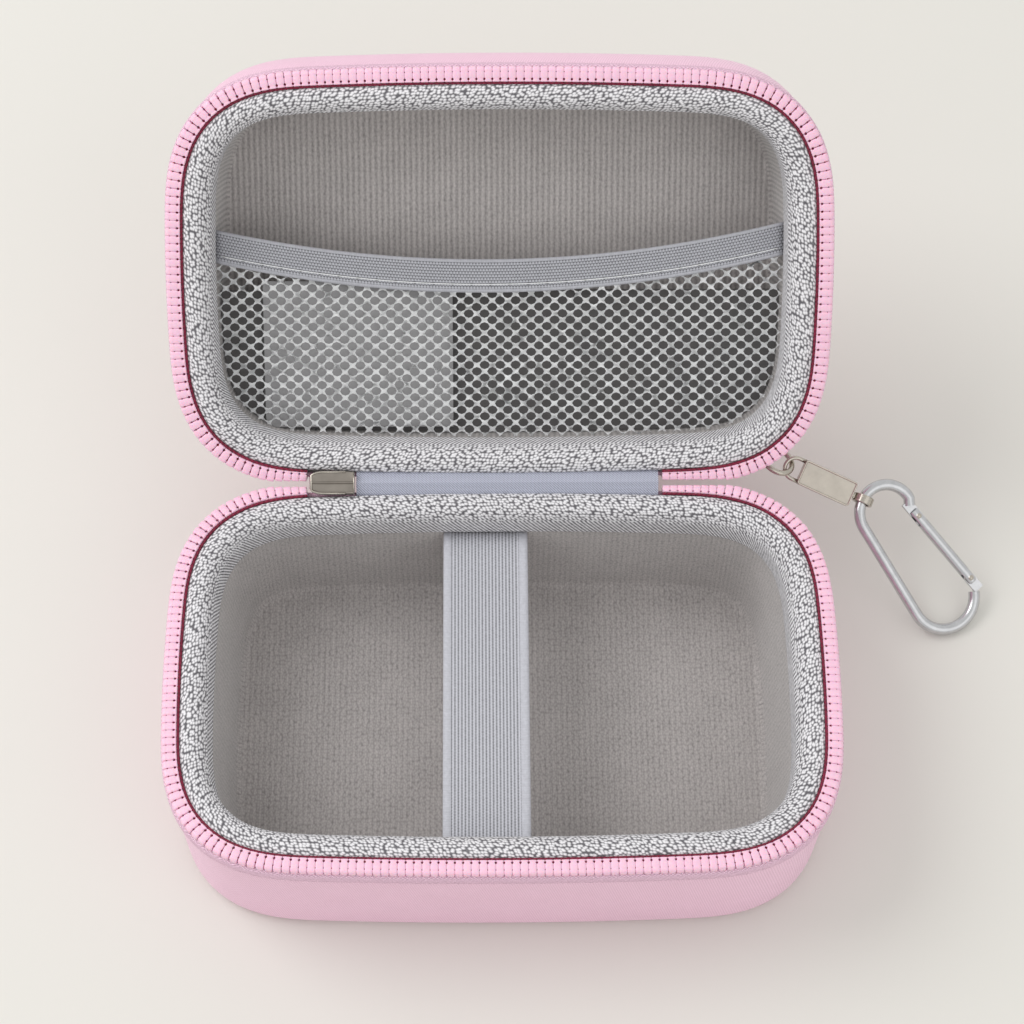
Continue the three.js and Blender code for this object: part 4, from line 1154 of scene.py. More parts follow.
def plain_cloth(graph, colour):
    point, _ = graph.place()
    grain = graph.cloud(point, CLOTH_GRAIN)
    graph.set(Base_Color=graph.tones(grain, colour, 0.88, 1.08), Roughness=0.85)
    graph.bump(grain, CLOTH_PILE, 0.4)


def panel_cloth(graph, colours):
    plain_cloth(graph, linear(colours.panel))


# Plain dark cloth of the sheet that paints the shade inside the pocket
def pocket_shade_cloth(graph, colours):
    plain_cloth(graph, linear(colours.painted_pocket_shade))


def net(graph, colours):
    colour = linear(colours.net)
    point, _ = graph.place()
    grain = graph.cloud(point, NET_GRAIN)
    graph.set(Base_Color=graph.tones(grain, colour, 0.86, 1.05), Roughness=0.7)
    graph.bump(grain, FINE_PILE, 0.5)


def blue_grey_twill(graph, colours):
    colour = linear(colours.twill)
    u, v = graph.cloth()
    twill = ((u + v) * (2 * pi / TWILL_PITCH)).sin()
    cross = ((u - v) * (2 * pi / TWILL_PITCH)).sin()
    shade = graph.clamp(0.5 + twill * 0.35 + twill * cross * 0.5)
    graph.set(Base_Color=graph.tones(shade, colour, 0.5, 1.3), Roughness=0.75, Sheen_Weight=0.2)
    graph.bump(twill, WOVEN_PILE, 0.6)


def metal_finish(graph, colour, rough, grain_size, stretch, grain):
    point, (x, y, z) = graph.place()
    lines = graph.cloud(graph.pair(x * stretch + z * 0.4, y + z), grain_size, 5, 0.7)
    wear = graph.cloud(point, METAL_WEAR)
    graph.set(Base_Color=graph.tones(wear, colour, 0.8, 1.12), Metallic=1,
              Roughness=graph.clamp(rough + (lines - 0.5) * grain, 0.08, 0.9))
    graph.bump(lines, METAL_SCRATCH, 1.15 * grain)


def dark_nickel(graph, colours):
    metal_finish(graph, linear(colours.dark_nickel), *METALS["dark_nickel"])


def nickel(graph, colours):
    metal_finish(graph, linear(colours.nickel), *METALS["nickel"])


def brushed_nickel(graph, colours):
    metal_finish(graph, linear(colours.nickel), *METALS["brushed_nickel"])


def clip_metal(graph, colours):
    metal_finish(graph, linear(colours.clip_metal), *METALS["clip_metal"])


def floor(graph, colours):
    point, _ = graph.place()
    slow = graph.cloud(point, FLOOR_CLOUD)
    graph.set(Base_Color=graph.tones(slow, linear(colours.floor), 0.985, 1.0), Roughness=0.9)


FINISHES = {make.__name__: make for make in (
    pink_oxford, foam, brushed_knit, ribbed_knit, heather_binding, crimson_piping, zip_tape, zip_coil,
    strap_elastic, hem_elastic, panel_cloth, pocket_shade_cloth, net, blue_grey_twill, dark_nickel, nickel,
    brushed_nickel, clip_metal, floor)}


def material(finish):
    """The material of a finish, made when it is first asked for."""
    name = f"{finish}_finish"
    if name in bpy.data.materials:
        return bpy.data.materials[name]
    graph = Graph(name)
    FINISHES[finish](graph, bpy.context.scene.case_colours)
    return graph.material


# Operators


class CASE_OT_stage(bpy.types.Operator):
    """Floor, soft light and the camera"""

    bl_idname = "meter_case.stage"
    bl_label = "Stage"

    def execute(self, context):
        scene = context.scene
        bm = bmesh.new()
        bmesh.ops.create_grid(bm, x_segments=1, y_segments=1, size=FLOOR_HALF)
        mesh = bpy.data.meshes.new("studio_floor")
        bm.to_mesh(mesh)
        bm.free()
        ground = bpy.data.objects.new("studio_floor", mesh)
        mesh.materials.append(material("floor"))
        scene.collection.objects.link(ground)
        self.light(scene, *KEY_LIGHT)
        self.light(scene, *FILL_LIGHT)
        world = bpy.data.worlds.new("studio_air")
        world.use_nodes = True
        air = world.node_tree.nodes["Background"].inputs
        air["Color"].default_value = AIR_COLOUR
        air["Strength"].default_value = AIR_STRENGTH
        scene.world = world
        scene.view_settings.view_transform = "Standard"
        lens = bpy.data.cameras.new("camera")
        lens.lens = CAMERA_LENS
        lens.sensor_width = SENSOR
        camera = bpy.data.objects.new("camera", lens)
        back = CAMERA_BACK.normalized()
        right = CAMERA_RIGHT.normalized()
        up = back.cross(right)
        turned_right = right * cos(CAMERA_ROLL) - up * sin(CAMERA_ROLL)
        turned_up = right * sin(CAMERA_ROLL) + up * cos(CAMERA_ROLL)
        rotation = Matrix((turned_right, turned_up, back)).transposed().to_4x4()
        camera.matrix_world = Matrix.Translation(CAMERA_PLACE) @ rotation
        scene.collection.objects.link(camera)
        scene.camera = camera
        return {"FINISHED"}

    def light(self, scene, name, place, power, size):
        lamp = bpy.data.lights.new(name, "AREA")
        lamp.energy = power
        lamp.shape = "DISK"
        lamp.size = size
        obj = bpy.data.objects.new(name, lamp)
        obj.location = place
        obj.rotation_euler = (-Vector(place)).to_track_quat("-Z", "Y").to_euler()
        scene.collection.objects.link(obj)


class CASE_OT_skins(bpy.types.Operator):
    """Covers, foam shells and linings of both halves"""

    bl_idname = "meter_case.skins"
    bl_label = "Skins"

    def execute(self, context):
        for half in TRAYS:
            inset = COVER_THICKNESS + SEAM_GAP
            cover = tray(half, outer_face(half, 0), outer_face(half, COVER_THICKNESS), 0)
            cover = piece(f"{half}_skin", cover, body_name(half), "pink_oxford", [f"{half}_cover"])
            self.declare(cover, 2 * TRAYS[half]["floor"], f"{half}_core")
            outset = LINING_THICKNESS + SEAM_GAP
            core = tray(half, outer_face(half, inset), inner_face(half, outset), 0)
            core = piece(f"{half}_core", core, body_name(half), "foam", [f"{half}_foam_shell"])
            cloth = tray(half, inner_face(half, LINING_THICKNESS), inner_face(half, 0), QUILT)
            finish = "brushed_knit" if half == "base" else "ribbed_knit"
            cloth = piece(f"{half}_knit", cloth, body_name(half), finish, [f"{half}_lining"])
            self.declare(cloth, 2 * (LININGS[half]["floor"] + LINING_OFFSET), f"{half}_core")
        return {"FINISHED"}

    def declare(self, cloth, walls, core):
        """Records nothing. The cloth is cut from a rectangle of the case's plan, wider by the walls on both
        sides.
        """


class CASE_OT_binding(bpy.types.Operator):
    """Padded rim binding and its stitches"""

    bl_idname = "meter_case.binding"
    bl_label = "Binding"

    def execute(self, context):
        rim = Rim(sizes())
        places = rim.round(BINDING_STATIONS)
        for half in TRAYS:
            def wander(place, _, shift=len(half)):
                return BINDING_WANDER * noise.noise(Vector((place[1], place[2], shift)) / WANDER_REACH)

            bm = strip(half, binding_section(half), places, True, wander, GROOVE_DEPTH)
            roll = piece(f"{half}_roll", bm, body_name(half), "heather_binding", [f"{half}_binding"])
            count = round(rim.length / sizes().stitch_pitch)
            seats = []
            for place in rim.round(count):
                side, end, depth, _ = on_lining(half, GROOVE_DEPTH, LIP_GAP + LIP_THICKNESS - GROOVE_CUT)
                x, y = offset_place(place, side, end)
                along = to_half(half, x - place[4], y + place[3], depth) - to_half(half, x, y, depth)
                up = to_half(half, x - place[3], y - place[4], depth) - to_half(half, x, y, depth)
                seats.append((to_half(half, x, y, depth), along.normalized(), up.normalized()))
            thread = stitches(seats, STITCH_LENGTH_SHARE * sizes().stitch_pitch)
            piece(f"{half}_binding_stitches", thread, body_name(half), "net")
        return {"FINISHED"}


class CASE_OT_zip(bpy.types.Operator):
    """Piping, zip tapes and coil teeth"""

    bl_idname = "meter_case.zip"
    bl_label = "Zip"

    def execute(self, context):
        rim = Rim(sizes())
        start, end = rim.run_at(ZIP_START), rim.run_at(ZIP_END)
        back = hinge_line()[0] - TAPE_BACK_GAP
        below = TAPE_TOP + TAPE_THICKNESS
        inside = TAPE_OUT - TAPE_THICKNESS
        inner_back = back - TAPE_THICKNESS / 2
        tape = [
            even(TAPE_IN, TAPE_TOP),
            even(TAPE_OUT - TAPE_BEND, TAPE_TOP, back - TAPE_BEND_BACK),
            even(TAPE_OUT - TAPE_ROUND, TAPE_TOP + TAPE_ROUND_DROP, back - TAPE_ROUND_BACK),
            even(TAPE_OUT, TAPE_TOP + TAPE_SHOULDER, back),
            even(TAPE_OUT, TAPE_DROP - TAPE_FOLD, back),
            even(TAPE_OUT - TAPE_THICKNESS / 2, TAPE_DROP, back),
            even(inside, TAPE_DROP, inner_back),
            even(inside, below, inner_back),
            even(TAPE_IN, below),
        ]
        cord = [even(PIPING_OUT + across, up - PIPING_RISE)
                for across, up in circle(sizes().piping_radius, PIPING_SIDES)]
        zip_path, cord_path = rim.path(start, end, ZIP_STEPS), rim.path(start, end, CORD_STEPS)
        for half in TRAYS:
            self.sewn(half, "tape", tape, zip_path, "zip_tape", [f"{half}_zip_tape"])
            self.sewn(half, "cord", cord, cord_path, "crimson_piping", [f"{half}_piping"])
            coil = self.teeth(half, rim, start, end, back)
            piece(f"{half}_coil", coil, body_name(half), "zip_coil", [f"{half}_zip_teeth"])
            for number, (share, thick, sunk) in enumerate(COIL_THREADS, 1):
                out = COIL_IN + (COIL_OUT - COIL_IN) * share
                rise = thick + sunk - COIL_TOP
                ring = [even(out + across, up + rise, back - (COIL_OUT - out))
                        for across, up in circle(thick, 6)]
                self.sewn(half, f"coil_thread_{number}", ring, zip_path, "crimson_piping", ())
        return {"FINISHED"}

    def sewn(self, half, name, section, path, finish, stands_for):
        """A piece that runs along the zip of one half."""
        bm = strip(half, section, path, False)
        piece(f"{half}_{name}", bm, body_name(half), finish, stands_for)

    def teeth(self, half, rim, start, end, back):
        pitch = sizes().tooth_pitch
        count = int((end - start) / pitch)
        step = (end - start) / count
        bm = bmesh.new()
        for k in range(count):
            place = rim.at(start + step * (k + 0.5))
            _, x, y, nx, ny = place
            outer = COIL_OUT if ny <= 0 else min(COIL_OUT, (back - y) / ny)
            rows = []
            for share, width, height in TOOTH_STATIONS:
                out = COIL_IN + (outer - COIL_IN) * share
                row = []
                for across, up in TOOTH_SECTION:
                    side = across * width * step
                    depth = COIL_FOOT - up * height * (COIL_TOP + COIL_FOOT)
                    row.append(to_half(half, x + nx * out - ny * side, y + ny * out + nx * side, depth))
                rows.append(row)
            sweep(bm, rows, lambda i, j, band: (i, j), ring=True)
        close_up(bm)
        return bm


class CASE_OT_hinge(bpy.types.Operator):
    """Twill strip that folds between the halves"""

    bl_idname = "meter_case.hinge"
    bl_label = "Hinge strip"

    def execute(self, context):
        hinge_y, hinge_z = hinge_line()
        turn = sizes().lid_opening
        valley = (pi - turn) / 2
        flange_top = MATE_GAP + TAPE_TOP
        flange_foot = MATE_GAP + SHELL_TOP - SEAM_GAP
        half = [
            (HINGE_SKIN_OUT, HINGE_LEAF), (HINGE_SKIN_IN, HINGE_LEAF), (HINGE_SKIN_IN, flange_foot),
            (HINGE_FLANGE, flange_foot), (HINGE_FLANGE, flange_top)]
        half += [(HINGE_FLANGE * inward, flange_top * away) for inward, away in HINGE_FLANGE_SHARES]
        outline = [(hinge_y - inward, hinge_z - away) for inward, away in half]
        outline.append((hinge_y - sin(valley) * HINGE_CREST, hinge_z + cos(valley) * HINGE_CREST))
        for inward, away in half[::-1]:
            y = hinge_y - inward * cos(turn) + away * sin(turn)
            outline.append((y, hinge_z + inward * sin(turn) + away * cos(turn)))
        crease = HINGE_SKIN_OUT / sin(valley)
        outline.append((hinge_y - sin(valley) * crease, hinge_z + cos(valley) * crease))
        rows = []
        for k in range(HINGE_STEPS + 1):
            x = HINGE_LEFT + (HINGE_RIGHT - HINGE_LEFT) * k / HINGE_STEPS
            rows.append([Vector((x, y, z)) for y, z in outline])
        across = lengths([(y, z, 0) for y, z in outline], closed=True)
        bm = swept(rows, lambda i, j, band: (rows[i][0].x, across[j]))
        apart = Vector((0, cos(valley), sin(valley))) * HINGE_BLEND
        centre = Vector((0, hinge_y, hinge_z))
        blend = ("case_base", "lid", centre - apart, centre + apart)
        leaf = piece("hinge_strip", bm, None, "blue_grey_twill", ["hinge_fabric"],
                     sharp=CLOTH_SHARP, blend=blend)
        return {"FINISHED"}


class CASE_OT_strap(bpy.types.Operator):
    """Ribbed elastic divider across the base"""

    bl_idname = "meter_case.strap"
    bl_label = "Divider strap"

    def execute(self, context):
        width = sizes().strap_width
        section = ribbed_band(STRAP_RIBS, width, STRAP_THICKNESS, STRAP_EDGE, RIB_HEIGHT)
        _, end, _, _ = on_lining("base", STRAP_DROP, 0)
        reach = sizes().case_depth / 2 + end
        rows = []
        for k in range(STRAP_STEPS + 1):
            share = 2 * k / STRAP_STEPS - 1
            middle = STRAP_DROP + STRAP_THICKNESS / 2 + STRAP_SAG * (1 - share**2)
            rows.append([to_half("base", STRAP_CENTRE + across, reach * share, middle - up)
                         for across, up in section])
        marks = [across + width / 2 for across, _ in section + section[:1]]
        bm = swept(rows, lambda i, j, band: (2 * reach * i / STRAP_STEPS, marks[j]))
        strap = piece("strap_band", bm, "case_base", "strap_elastic", ["divider_strap"])
        2 * reach
        return {"FINISHED"}


def hem_edge(x):
    """Distance of the hem's upper edge behind the middle of the lid."""
    share = 2 * x / sizes().case_width
    return HEM_TOP - HEM_BOW * share**2 - HEM_SKEW * share


class CASE_OT_pocket(bpy.types.Operator):
    """Net of the lid's pocket with its elastic hem"""

    bl_idname = "meter_case.pocket"
    bl_label = "Net pocket"

    def execute(self, context):
        self.pieces = []
        self.hem()
        self.panel()
        self.net()
        return {"FINISHED"}

    def reach(self):
        side, _, _, _ = on_lining("lid", POCKET_DROP + HEM_THICKNESS / 2, 0)
        return sizes().case_width / 2 + side - SIDE_BOW * HEM_END_SHARE

    def hem(self):
        reach = self.reach()
        section = ribbed_band(HEM_ROWS, HEM_WIDTH, HEM_THICKNESS, HEM_EDGE, RIB_HEIGHT * HEM_RIB_SHARE)
        rows, runs = [], []
        for k in range(HEM_STEPS + 1):
            x = reach * (2 * k / HEM_STEPS - 1)
            middle = hem_edge(x) + HEM_WIDTH / 2
            runs.append(x)
            rows.append([to_half("lid", x, middle + across, POCKET_DROP + HEM_THICKNESS / 2 - up)
                         for across, up in section])
        marks = [across + HEM_WIDTH / 2 for across, _ in section + section[:1]]
        bm = swept(rows, lambda i, j, band: (runs[i], marks[j]))
        band = piece("hem_band", bm, "lid", "hem_elastic", ["pocket_elastic"])
        line = []
        for k in range(2 * HEM_STEPS + 1):
            x = HEM_THREAD_SHARE * reach * (k / HEM_STEPS - 1)
            line.append((x, hem_edge(x) + HEM_WIDTH - HEM_STITCH_RISE, 0))
        thread = bmesh.new()
        wire(thread, self.lid_frame(POCKET_DROP - HEM_THREAD_PROUD), line, HEM_THREAD_RADIUS, sides=6)
        close_up(thread)
        self.pieces += [band, piece("hem_thread", thread, "lid", "net")]

    def panel(self):
        """A dark sheet on the lining behind the net, which is painted shade of the deep pocket, and the plain
        panel sewn on the left of the pocket's back.
        """
        left, right, front, back = PANEL_SIDES
        corner = (left + PANEL_CORNER, back - PANEL_CORNER)
        outline = arc(corner, PANEL_CORNER, pi, pi / 2, PANEL_CORNER_STEPS)
        outline += [(right, back), (right, front), (left, front)]
        flat = (right - left, back - front)
        self.cloth("pocket_panel", outline, PANEL_DEPTH, "panel_cloth", flat, ["pocket_shade_sheet"])
        # The dark sheet on the lining behind the net is painted shade of the deep pocket
        side, end, _, _ = on_lining("lid", POCKET_SHADE_DEPTH, POCKET_SHADE_INSET)
        edge = [offset_place(place, side, end) for place in Rim(sizes()).round(POCKET_SHADE_STATIONS)]
        wide = max(x for x, _ in edge)
        kept = [(x, y) for x, y in edge if y > POCKET_SHADE_FRONT]
        flat = (2 * wide, max(y for _, y in edge) - POCKET_SHADE_FRONT)
        area = abs(sum(x * v - u * y for (x, y), (u, v) in zip(kept, kept[1:] + kept[:1]))) / 2
        self.cloth("pocket_shade_sheet", kept, POCKET_SHADE_DEPTH, "pocket_shade_cloth", flat, ["lid_knit"], area)

    def cloth(self, name, outline, depth, finish, flat, rests_on, area=None):
        bm = bmesh.new()
        slab(bm, self.lid_frame(depth), outline, -PANEL_THICKNESS, 0)
        close_up(bm)
        cloth = piece(name, bm, "lid", finish, sharp=SHARP)

    def lid_frame(self, depth):
        """Turns a closed lid's place, with depth taken as -Z from one depth, to where the lid rests."""
        origin = to_half("lid", 0, 0, 0)
        axes = [to_half("lid", *axis) - origin for axis in ((1, 0, 0), (0, 1, 0), (0, 0, -1))]
        return Matrix.Translation(to_half("lid", 0, 0, depth)) @ Matrix(axes).transposed().to_4x4()

    def net(self):
        rim = Rim(sizes())
        side, end, _, _ = on_lining("lid", NET_DEPTH, 0)
        outline = [offset_place(place, side, end) for place in rim.round(NET_STATIONS)]
        pitch, row_pitch = sizes().net_pitch, sizes().net_row
        reach = sizes().case_width / 2
        rows = ceil(sizes().case_depth / 2 / row_pitch) + NET_SPARE_ROWS
        columns = ceil(reach / pitch) + 1
        diamond = [(-1 / 2, 0), (0, -1), (1 / 2, 0), (0, 1)]
        bm = bmesh.new()
        verts = {}

        def corner(a, b):
            key = (round(a * 6), round(b * 6))
            if key not in verts:
                verts[key] = bm.verts.new((a * pitch, b * row_pitch, 0))
            return verts[key]

        for row in range(-NET_SPARE_ROWS, rows):
            for column in range(-columns, columns + 1):
                across = column + (row % 2) / 2
                x, y = across * pitch, row * row_pitch
                if abs(x) < reach and y > hem_edge(x):
                    bm.faces.new([corner(across + da, row + db) for da, db in diamond])
        holes = bm.faces[:]
        bmesh.ops.inset_individual(bm, faces=holes, thickness=NET_STRAND / 2)
        bmesh.ops.delete(bm, geom=holes, context="FACES")
        for (ax, ay), (bx, by) in zip(outline, outline[1:] + outline[:1]):
            away = Vector((by - ay, ax - bx, 0))
            bmesh.ops.bisect_plane(bm, geom=bm.verts[:] + bm.edges[:] + bm.faces[:], plane_co=(ax, ay, 0),
                                   plane_no=away, clear_outer=True)
        low = [vert for vert in bm.verts if vert.co.y < hem_edge(vert.co.x) + HEM_WIDTH - NET_TUCK]
        bmesh.ops.delete(bm, geom=low, context="VERTS")
        bmesh.ops.solidify(bm, geom=bm.faces[:], thickness=NET_THICKNESS)
        for vert in bm.verts:
            x, y, z = vert.co
            vert.co = to_half("lid", x, y, NET_DEPTH + z + ripple(x, y, 0, NET_RIPPLE))
        bmesh.ops.recalc_face_normals(bm, faces=bm.faces)
        mesh = piece("net_mesh", bm, "lid", "net", ["pocket_net"])
        rounding = mesh.modifiers.new("rounding", "SUBSURF")
        rounding.levels = rounding.render_levels = 1
        across = [vert.co.x for vert in mesh.data.vertices]
        up = [vert.co.z for vert in mesh.data.vertices]
        flat = (max(across) - min(across), (max(up) - min(up)) / sin(sizes().lid_opening))
        NET_SHARE * flat[0] * flat[1]
        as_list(self.pieces)


class CASE_OT_slider(bpy.types.Operator):
    """Zip slider parked at the hinge, and its pull tab"""

    bl_idname = "meter_case.slider"
    bl_label = "Zip slider"

    def execute(self, context):
        hinge_y, hinge_z = hinge_line()
        tilt = (pi - sizes().lid_opening) / 2
        place = Matrix.Translation((SLIDER_LEFT, hinge_y, hinge_z)) @ Matrix.Rotation(tilt, 4, "X")
        rise = SLIDER_TOP - SLIDER_FOOT
        rows = []
        for share, width, height in SLIDER_STATIONS:
            x, half = share * SLIDER_LENGTH, width * SLIDER_HALF
            rows.append([place @ Vector((x, across * half, SLIDER_FOOT + up * height * rise))
                         for across, up in SLIDER_SECTION])
        bm = swept(rows, lambda i, j, band: (i, j))
        length = SLIDER_LENGTH
        rounded_box(bm, place, (NECK_INSET, -NECK_HALF, BACK_FOOT),
                    (length - NECK_INSET, NECK_HALF, SLIDER_FOOT + NECK_SEAT), SLIDER_ROUND)
        rounded_box(bm, place, (BACK_INSET, -BACK_HALF, BACK_FOOT),
                    (length - BACK_INSET, BACK_HALF, BACK_TOP), SLIDER_ROUND)
        for side in (-1, 1):
            lug = bmesh.ops.create_cone(bm, cap_ends=True, segments=LUG_SIDES, radius1=LUG_RADIUS,
                                        radius2=LUG_RADIUS, depth=LUG_THICKNESS)["verts"]
            seat = place @ Matrix.Translation((length / 2, side * LUG_ASIDE, LUG_PLACE))
            bmesh.ops.transform(bm, verts=lug, matrix=seat @ Matrix.Rotation(pi / 2, 4, "X"))
        piece("slider_body", bm, "slider", "dark_nickel", ["zip_slider"], sharp=SHARP)
        nose = [(share * length, -width * SLIDER_HALF * RIM_SHARE)
                for share, width, _ in SLIDER_STATIONS[7:1:-1]]
        nose += [(x, -y) for x, y in nose[::-1]]
        bm = bmesh.new()
        wire(bm, place, [(x, y, SLIDER_TOP - RIM_SINK) for x, y in nose], RIM_WIRE, sides=RIM_SIDES)
        ends = [(length - END_SINK, side * END_SHARE * SLIDER_HALF, SLIDER_TOP - END_SINK)
                for side in (-1, 1)]
        wire(bm, place, ends, END_WIRE, sides=END_SIDES)
        close_up(bm)
        piece("slider_rim", bm, "slider", "nickel")
        dress("zip_puller", "dark_nickel")
        return {"FINISHED"}


def dress(node, finish):
    """Gives a carried-over node its material."""
    materials = frame["nodes"][node].data.materials
    materials.clear()
    materials.append(material(finish))


def turned(place, heading, drop, roll):
    """The frame of a piece of the chain: heading about Z, then drop below level, then roll."""
    turn = Matrix.Rotation(heading, 4, "Z") @ Matrix.Rotation(drop, 4, "Y") @ Matrix.Rotation(roll, 4, "X")
    return Matrix.Translation(place) @ turn


def wire(bm, place, path, radius, sides=WIRE_SIDES, closed=False):
    """A round wire along a path in the piece's own XY plane, or with a third part for height."""
    points = [Vector((*point, 0)) if len(point) == 2 else Vector(point) for point in path]
    rows = []
    count = len(points)
    up = Vector((0, 0, 1))
    for k, point in enumerate(points):
        before = points[k - 1] if k or closed else point
        after = points[(k + 1) % count] if k + 1 < count or closed else point
        side = (after - before).normalized().cross(up).normalized()
        rows.append([place @ (point + side * across + up * rise) for across, rise in circle(radius, sides)])
    runs = lengths(points, closed)
    sweep(bm, rows, lambda i, j, band: (runs[i], j / sides), ring=True, closed=closed)


def arc(centre, radius, start, end, steps):
    return [(centre[0] + radius * cos(start + (end - start) * k / steps),
             centre[1] + radius * sin(start + (end - start) * k / steps)) for k in range(steps + 1)]


class CASE_OT_chain(bpy.types.Operator):
    """Webbing tab, ring, plate with its wire loop, and the turning eye"""

    bl_idname = "meter_case.chain"
    bl_label = "Chain"

    def execute(self, context):
        self.tab()
        self.ring()
        self.plate()
        self.eye()
        return {"FINISHED"}

    def tab(self):
        axis, normal = Vector(TAB_AXIS), Vector(TAB_NORMAL)
        leg = normal.cross(axis).normalized()
        place = Matrix.Translation(TAB_PLACE) @ Matrix((leg, normal, axis)).transposed().to_4x4()
        wrap = [-pi / 2 - TAB_WRAP * k / TAB_STEPS for k in range(TAB_STEPS + 1)]
        bend = [(TAB_RADIUS * cos(turn), TAB_RADIUS * sin(turn)) for turn in wrap]
        inner = (TAB_RADIUS - TAB_THICKNESS) / TAB_RADIUS
        inside = [(x * inner, y * inner) for x, y in bend[::-1]]
        ring = [(TAB_REACH, -TAB_RADIUS)] + bend + [TAB_THROAT, (TAB_REACH, TAB_TAIL - TAB_RADIUS)]
        ring += [TAB_THROAT_IN] + inside
        rows = []
        for share, slim in TAB_STATIONS:
            rows.append([place @ Vector((x * slim, y * slim, TAB_HALF * share)) for x, y in ring])
        across = lengths([(x, y, 0) for x, y in ring], closed=True)
        bm = swept(rows, lambda i, j, band: (across[j], TAB_HALF * i))
        piece("tab_loop", bm, "lid", "zip_tape", ["clip_tab"], sharp=CLOTH_SHARP)

    def ring(self):
        bm = bmesh.new()
        place = turned(RING_PLACE, CHAIN_HEADING, CHAIN_DROP, RING_ROLL)
        wire(bm, place, circle(RING_RADIUS, RING_STEPS), RING_WIRE, closed=True)
        close_up(bm)
        piece("jump_ring", bm, "ring", "nickel", ["chain_ring"])

    def plate(self):
        place = turned(PLATE_PLACE, CHAIN_HEADING, CHAIN_DROP, PLATE_ROLL)
        half = PLATE_THICKNESS / 2
        profile = [(PLATE_BORDER + PLATE_BEAD, PLATE_PANEL - half), (PLATE_BORDER, PLATE_LIP - half),
                   (PLATE_BORDER - PLATE_STEP, -half)]
        profile += [(inset, rise - half) for inset, rise in PLATE_EDGE]
        profile += [(inset, -z) for inset, z in profile[::-1]]
        rows = [[place @ Vector((x, y, z)) for x, y in self.plate_outline(inset)] for inset, z in profile]
        bm = swept(rows, lambda i, j, band: (i, j))
        piece("plate_body", bm, "plate", "nickel", ["chain_plate"], sharp=PLATE_SHARP)
        bm = bmesh.new()
        inlay = self.plate_outline(PLATE_BORDER + PLATE_STEP)
        panel = half - PLATE_PANEL
        for side in (-1, 1):
            slab(bm, place, inlay, side * (panel - PLATE_STEP), side * (panel + PANEL_PROUD))
        close_up(bm)
        piece("plate_panels", bm, "plate", "brushed_nickel", sharp=PLATE_SHARP)
        bm = bmesh.new()
        bend = arc((LOOP_HALF - LOOP_REACH, 0), LOOP_HALF, pi / 2, 3 * pi / 2, LOOP_STEPS)
        wire(bm, place, [(LOOP_ROOT, LOOP_HALF)] + bend + [(LOOP_ROOT, -LOOP_HALF)], LOOP_WIRE)
        close_up(bm)
        piece("plate_loop", bm, "plate", "nickel")

    def plate_outline(self, inset):
        reach = PLATE_CORNER - min(inset, PLATE_CORNER_SHARE * PLATE_CORNER)
        right, left = PLATE_LENGTH - inset - reach, inset + reach
        across = PLATE_WIDTH / 2 - inset - reach
        corners = ((right, across), (left, across), (left, -across), (right, -across))
        line = []
        for quarter, corner in enumerate(corners):
            line += arc(corner, reach, quarter * pi / 2, (quarter + 1) * pi / 2, PLATE_CORNER_STEPS)
        return line

    def eye(self):
        place = turned(EYE_PLACE, CHAIN_HEADING, CHAIN_DROP, EYE_ROLL)
        half = EYE_WIDTH / 2
        inner, outer = EYE_BEVEL_SHARES
        wall = [(EYE_BORE, -half * inner), (EYE_BORE + EYE_CHAMFER, -half),
                (EYE_RADIUS - EYE_CHAMFER, -half), (EYE_RADIUS, -half * outer)]
        wall += [(radius, -y) for radius, y in wall[::-1]]
        rows = []
        for turn in (2 * pi * k / EYE_STEPS for k in range(EYE_STEPS)):
            rows.append([place @ Vector((r * cos(turn), y, r * sin(turn))) for r, y in wall])
        bm = bmesh.new()
        sweep(bm, rows, lambda i, j, band: (i, j), ring=True, closed=True)
        middle, far = (EYE_RADIUS + EYE_BORE) / 2, EYE_REACH + POST_LENGTH
        post = bmesh.ops.create_cone(bm, cap_ends=True, segments=WIRE_SIDES, radius1=POST_RADIUS,
                                     radius2=POST_RADIUS, depth=far - middle)["verts"]
        seat = place @ Matrix.Translation((-(far + middle) / 2, 0, 0))
        bmesh.ops.transform(bm, verts=post, matrix=seat @ Matrix.Rotation(pi / 2, 4, "Y"))
        wide, high = COLLAR_HALF
        rounded_box(bm, place, (COLLAR_GAP - EYE_REACH, -wide, -high), (-middle, wide, high), COLLAR_ROUND)
        bmesh.ops.recalc_face_normals(bm, faces=bm.faces)
        piece("eye_band", bm, "swivel", "nickel", ["swivel_eye"], sharp=EYE_SHARP)


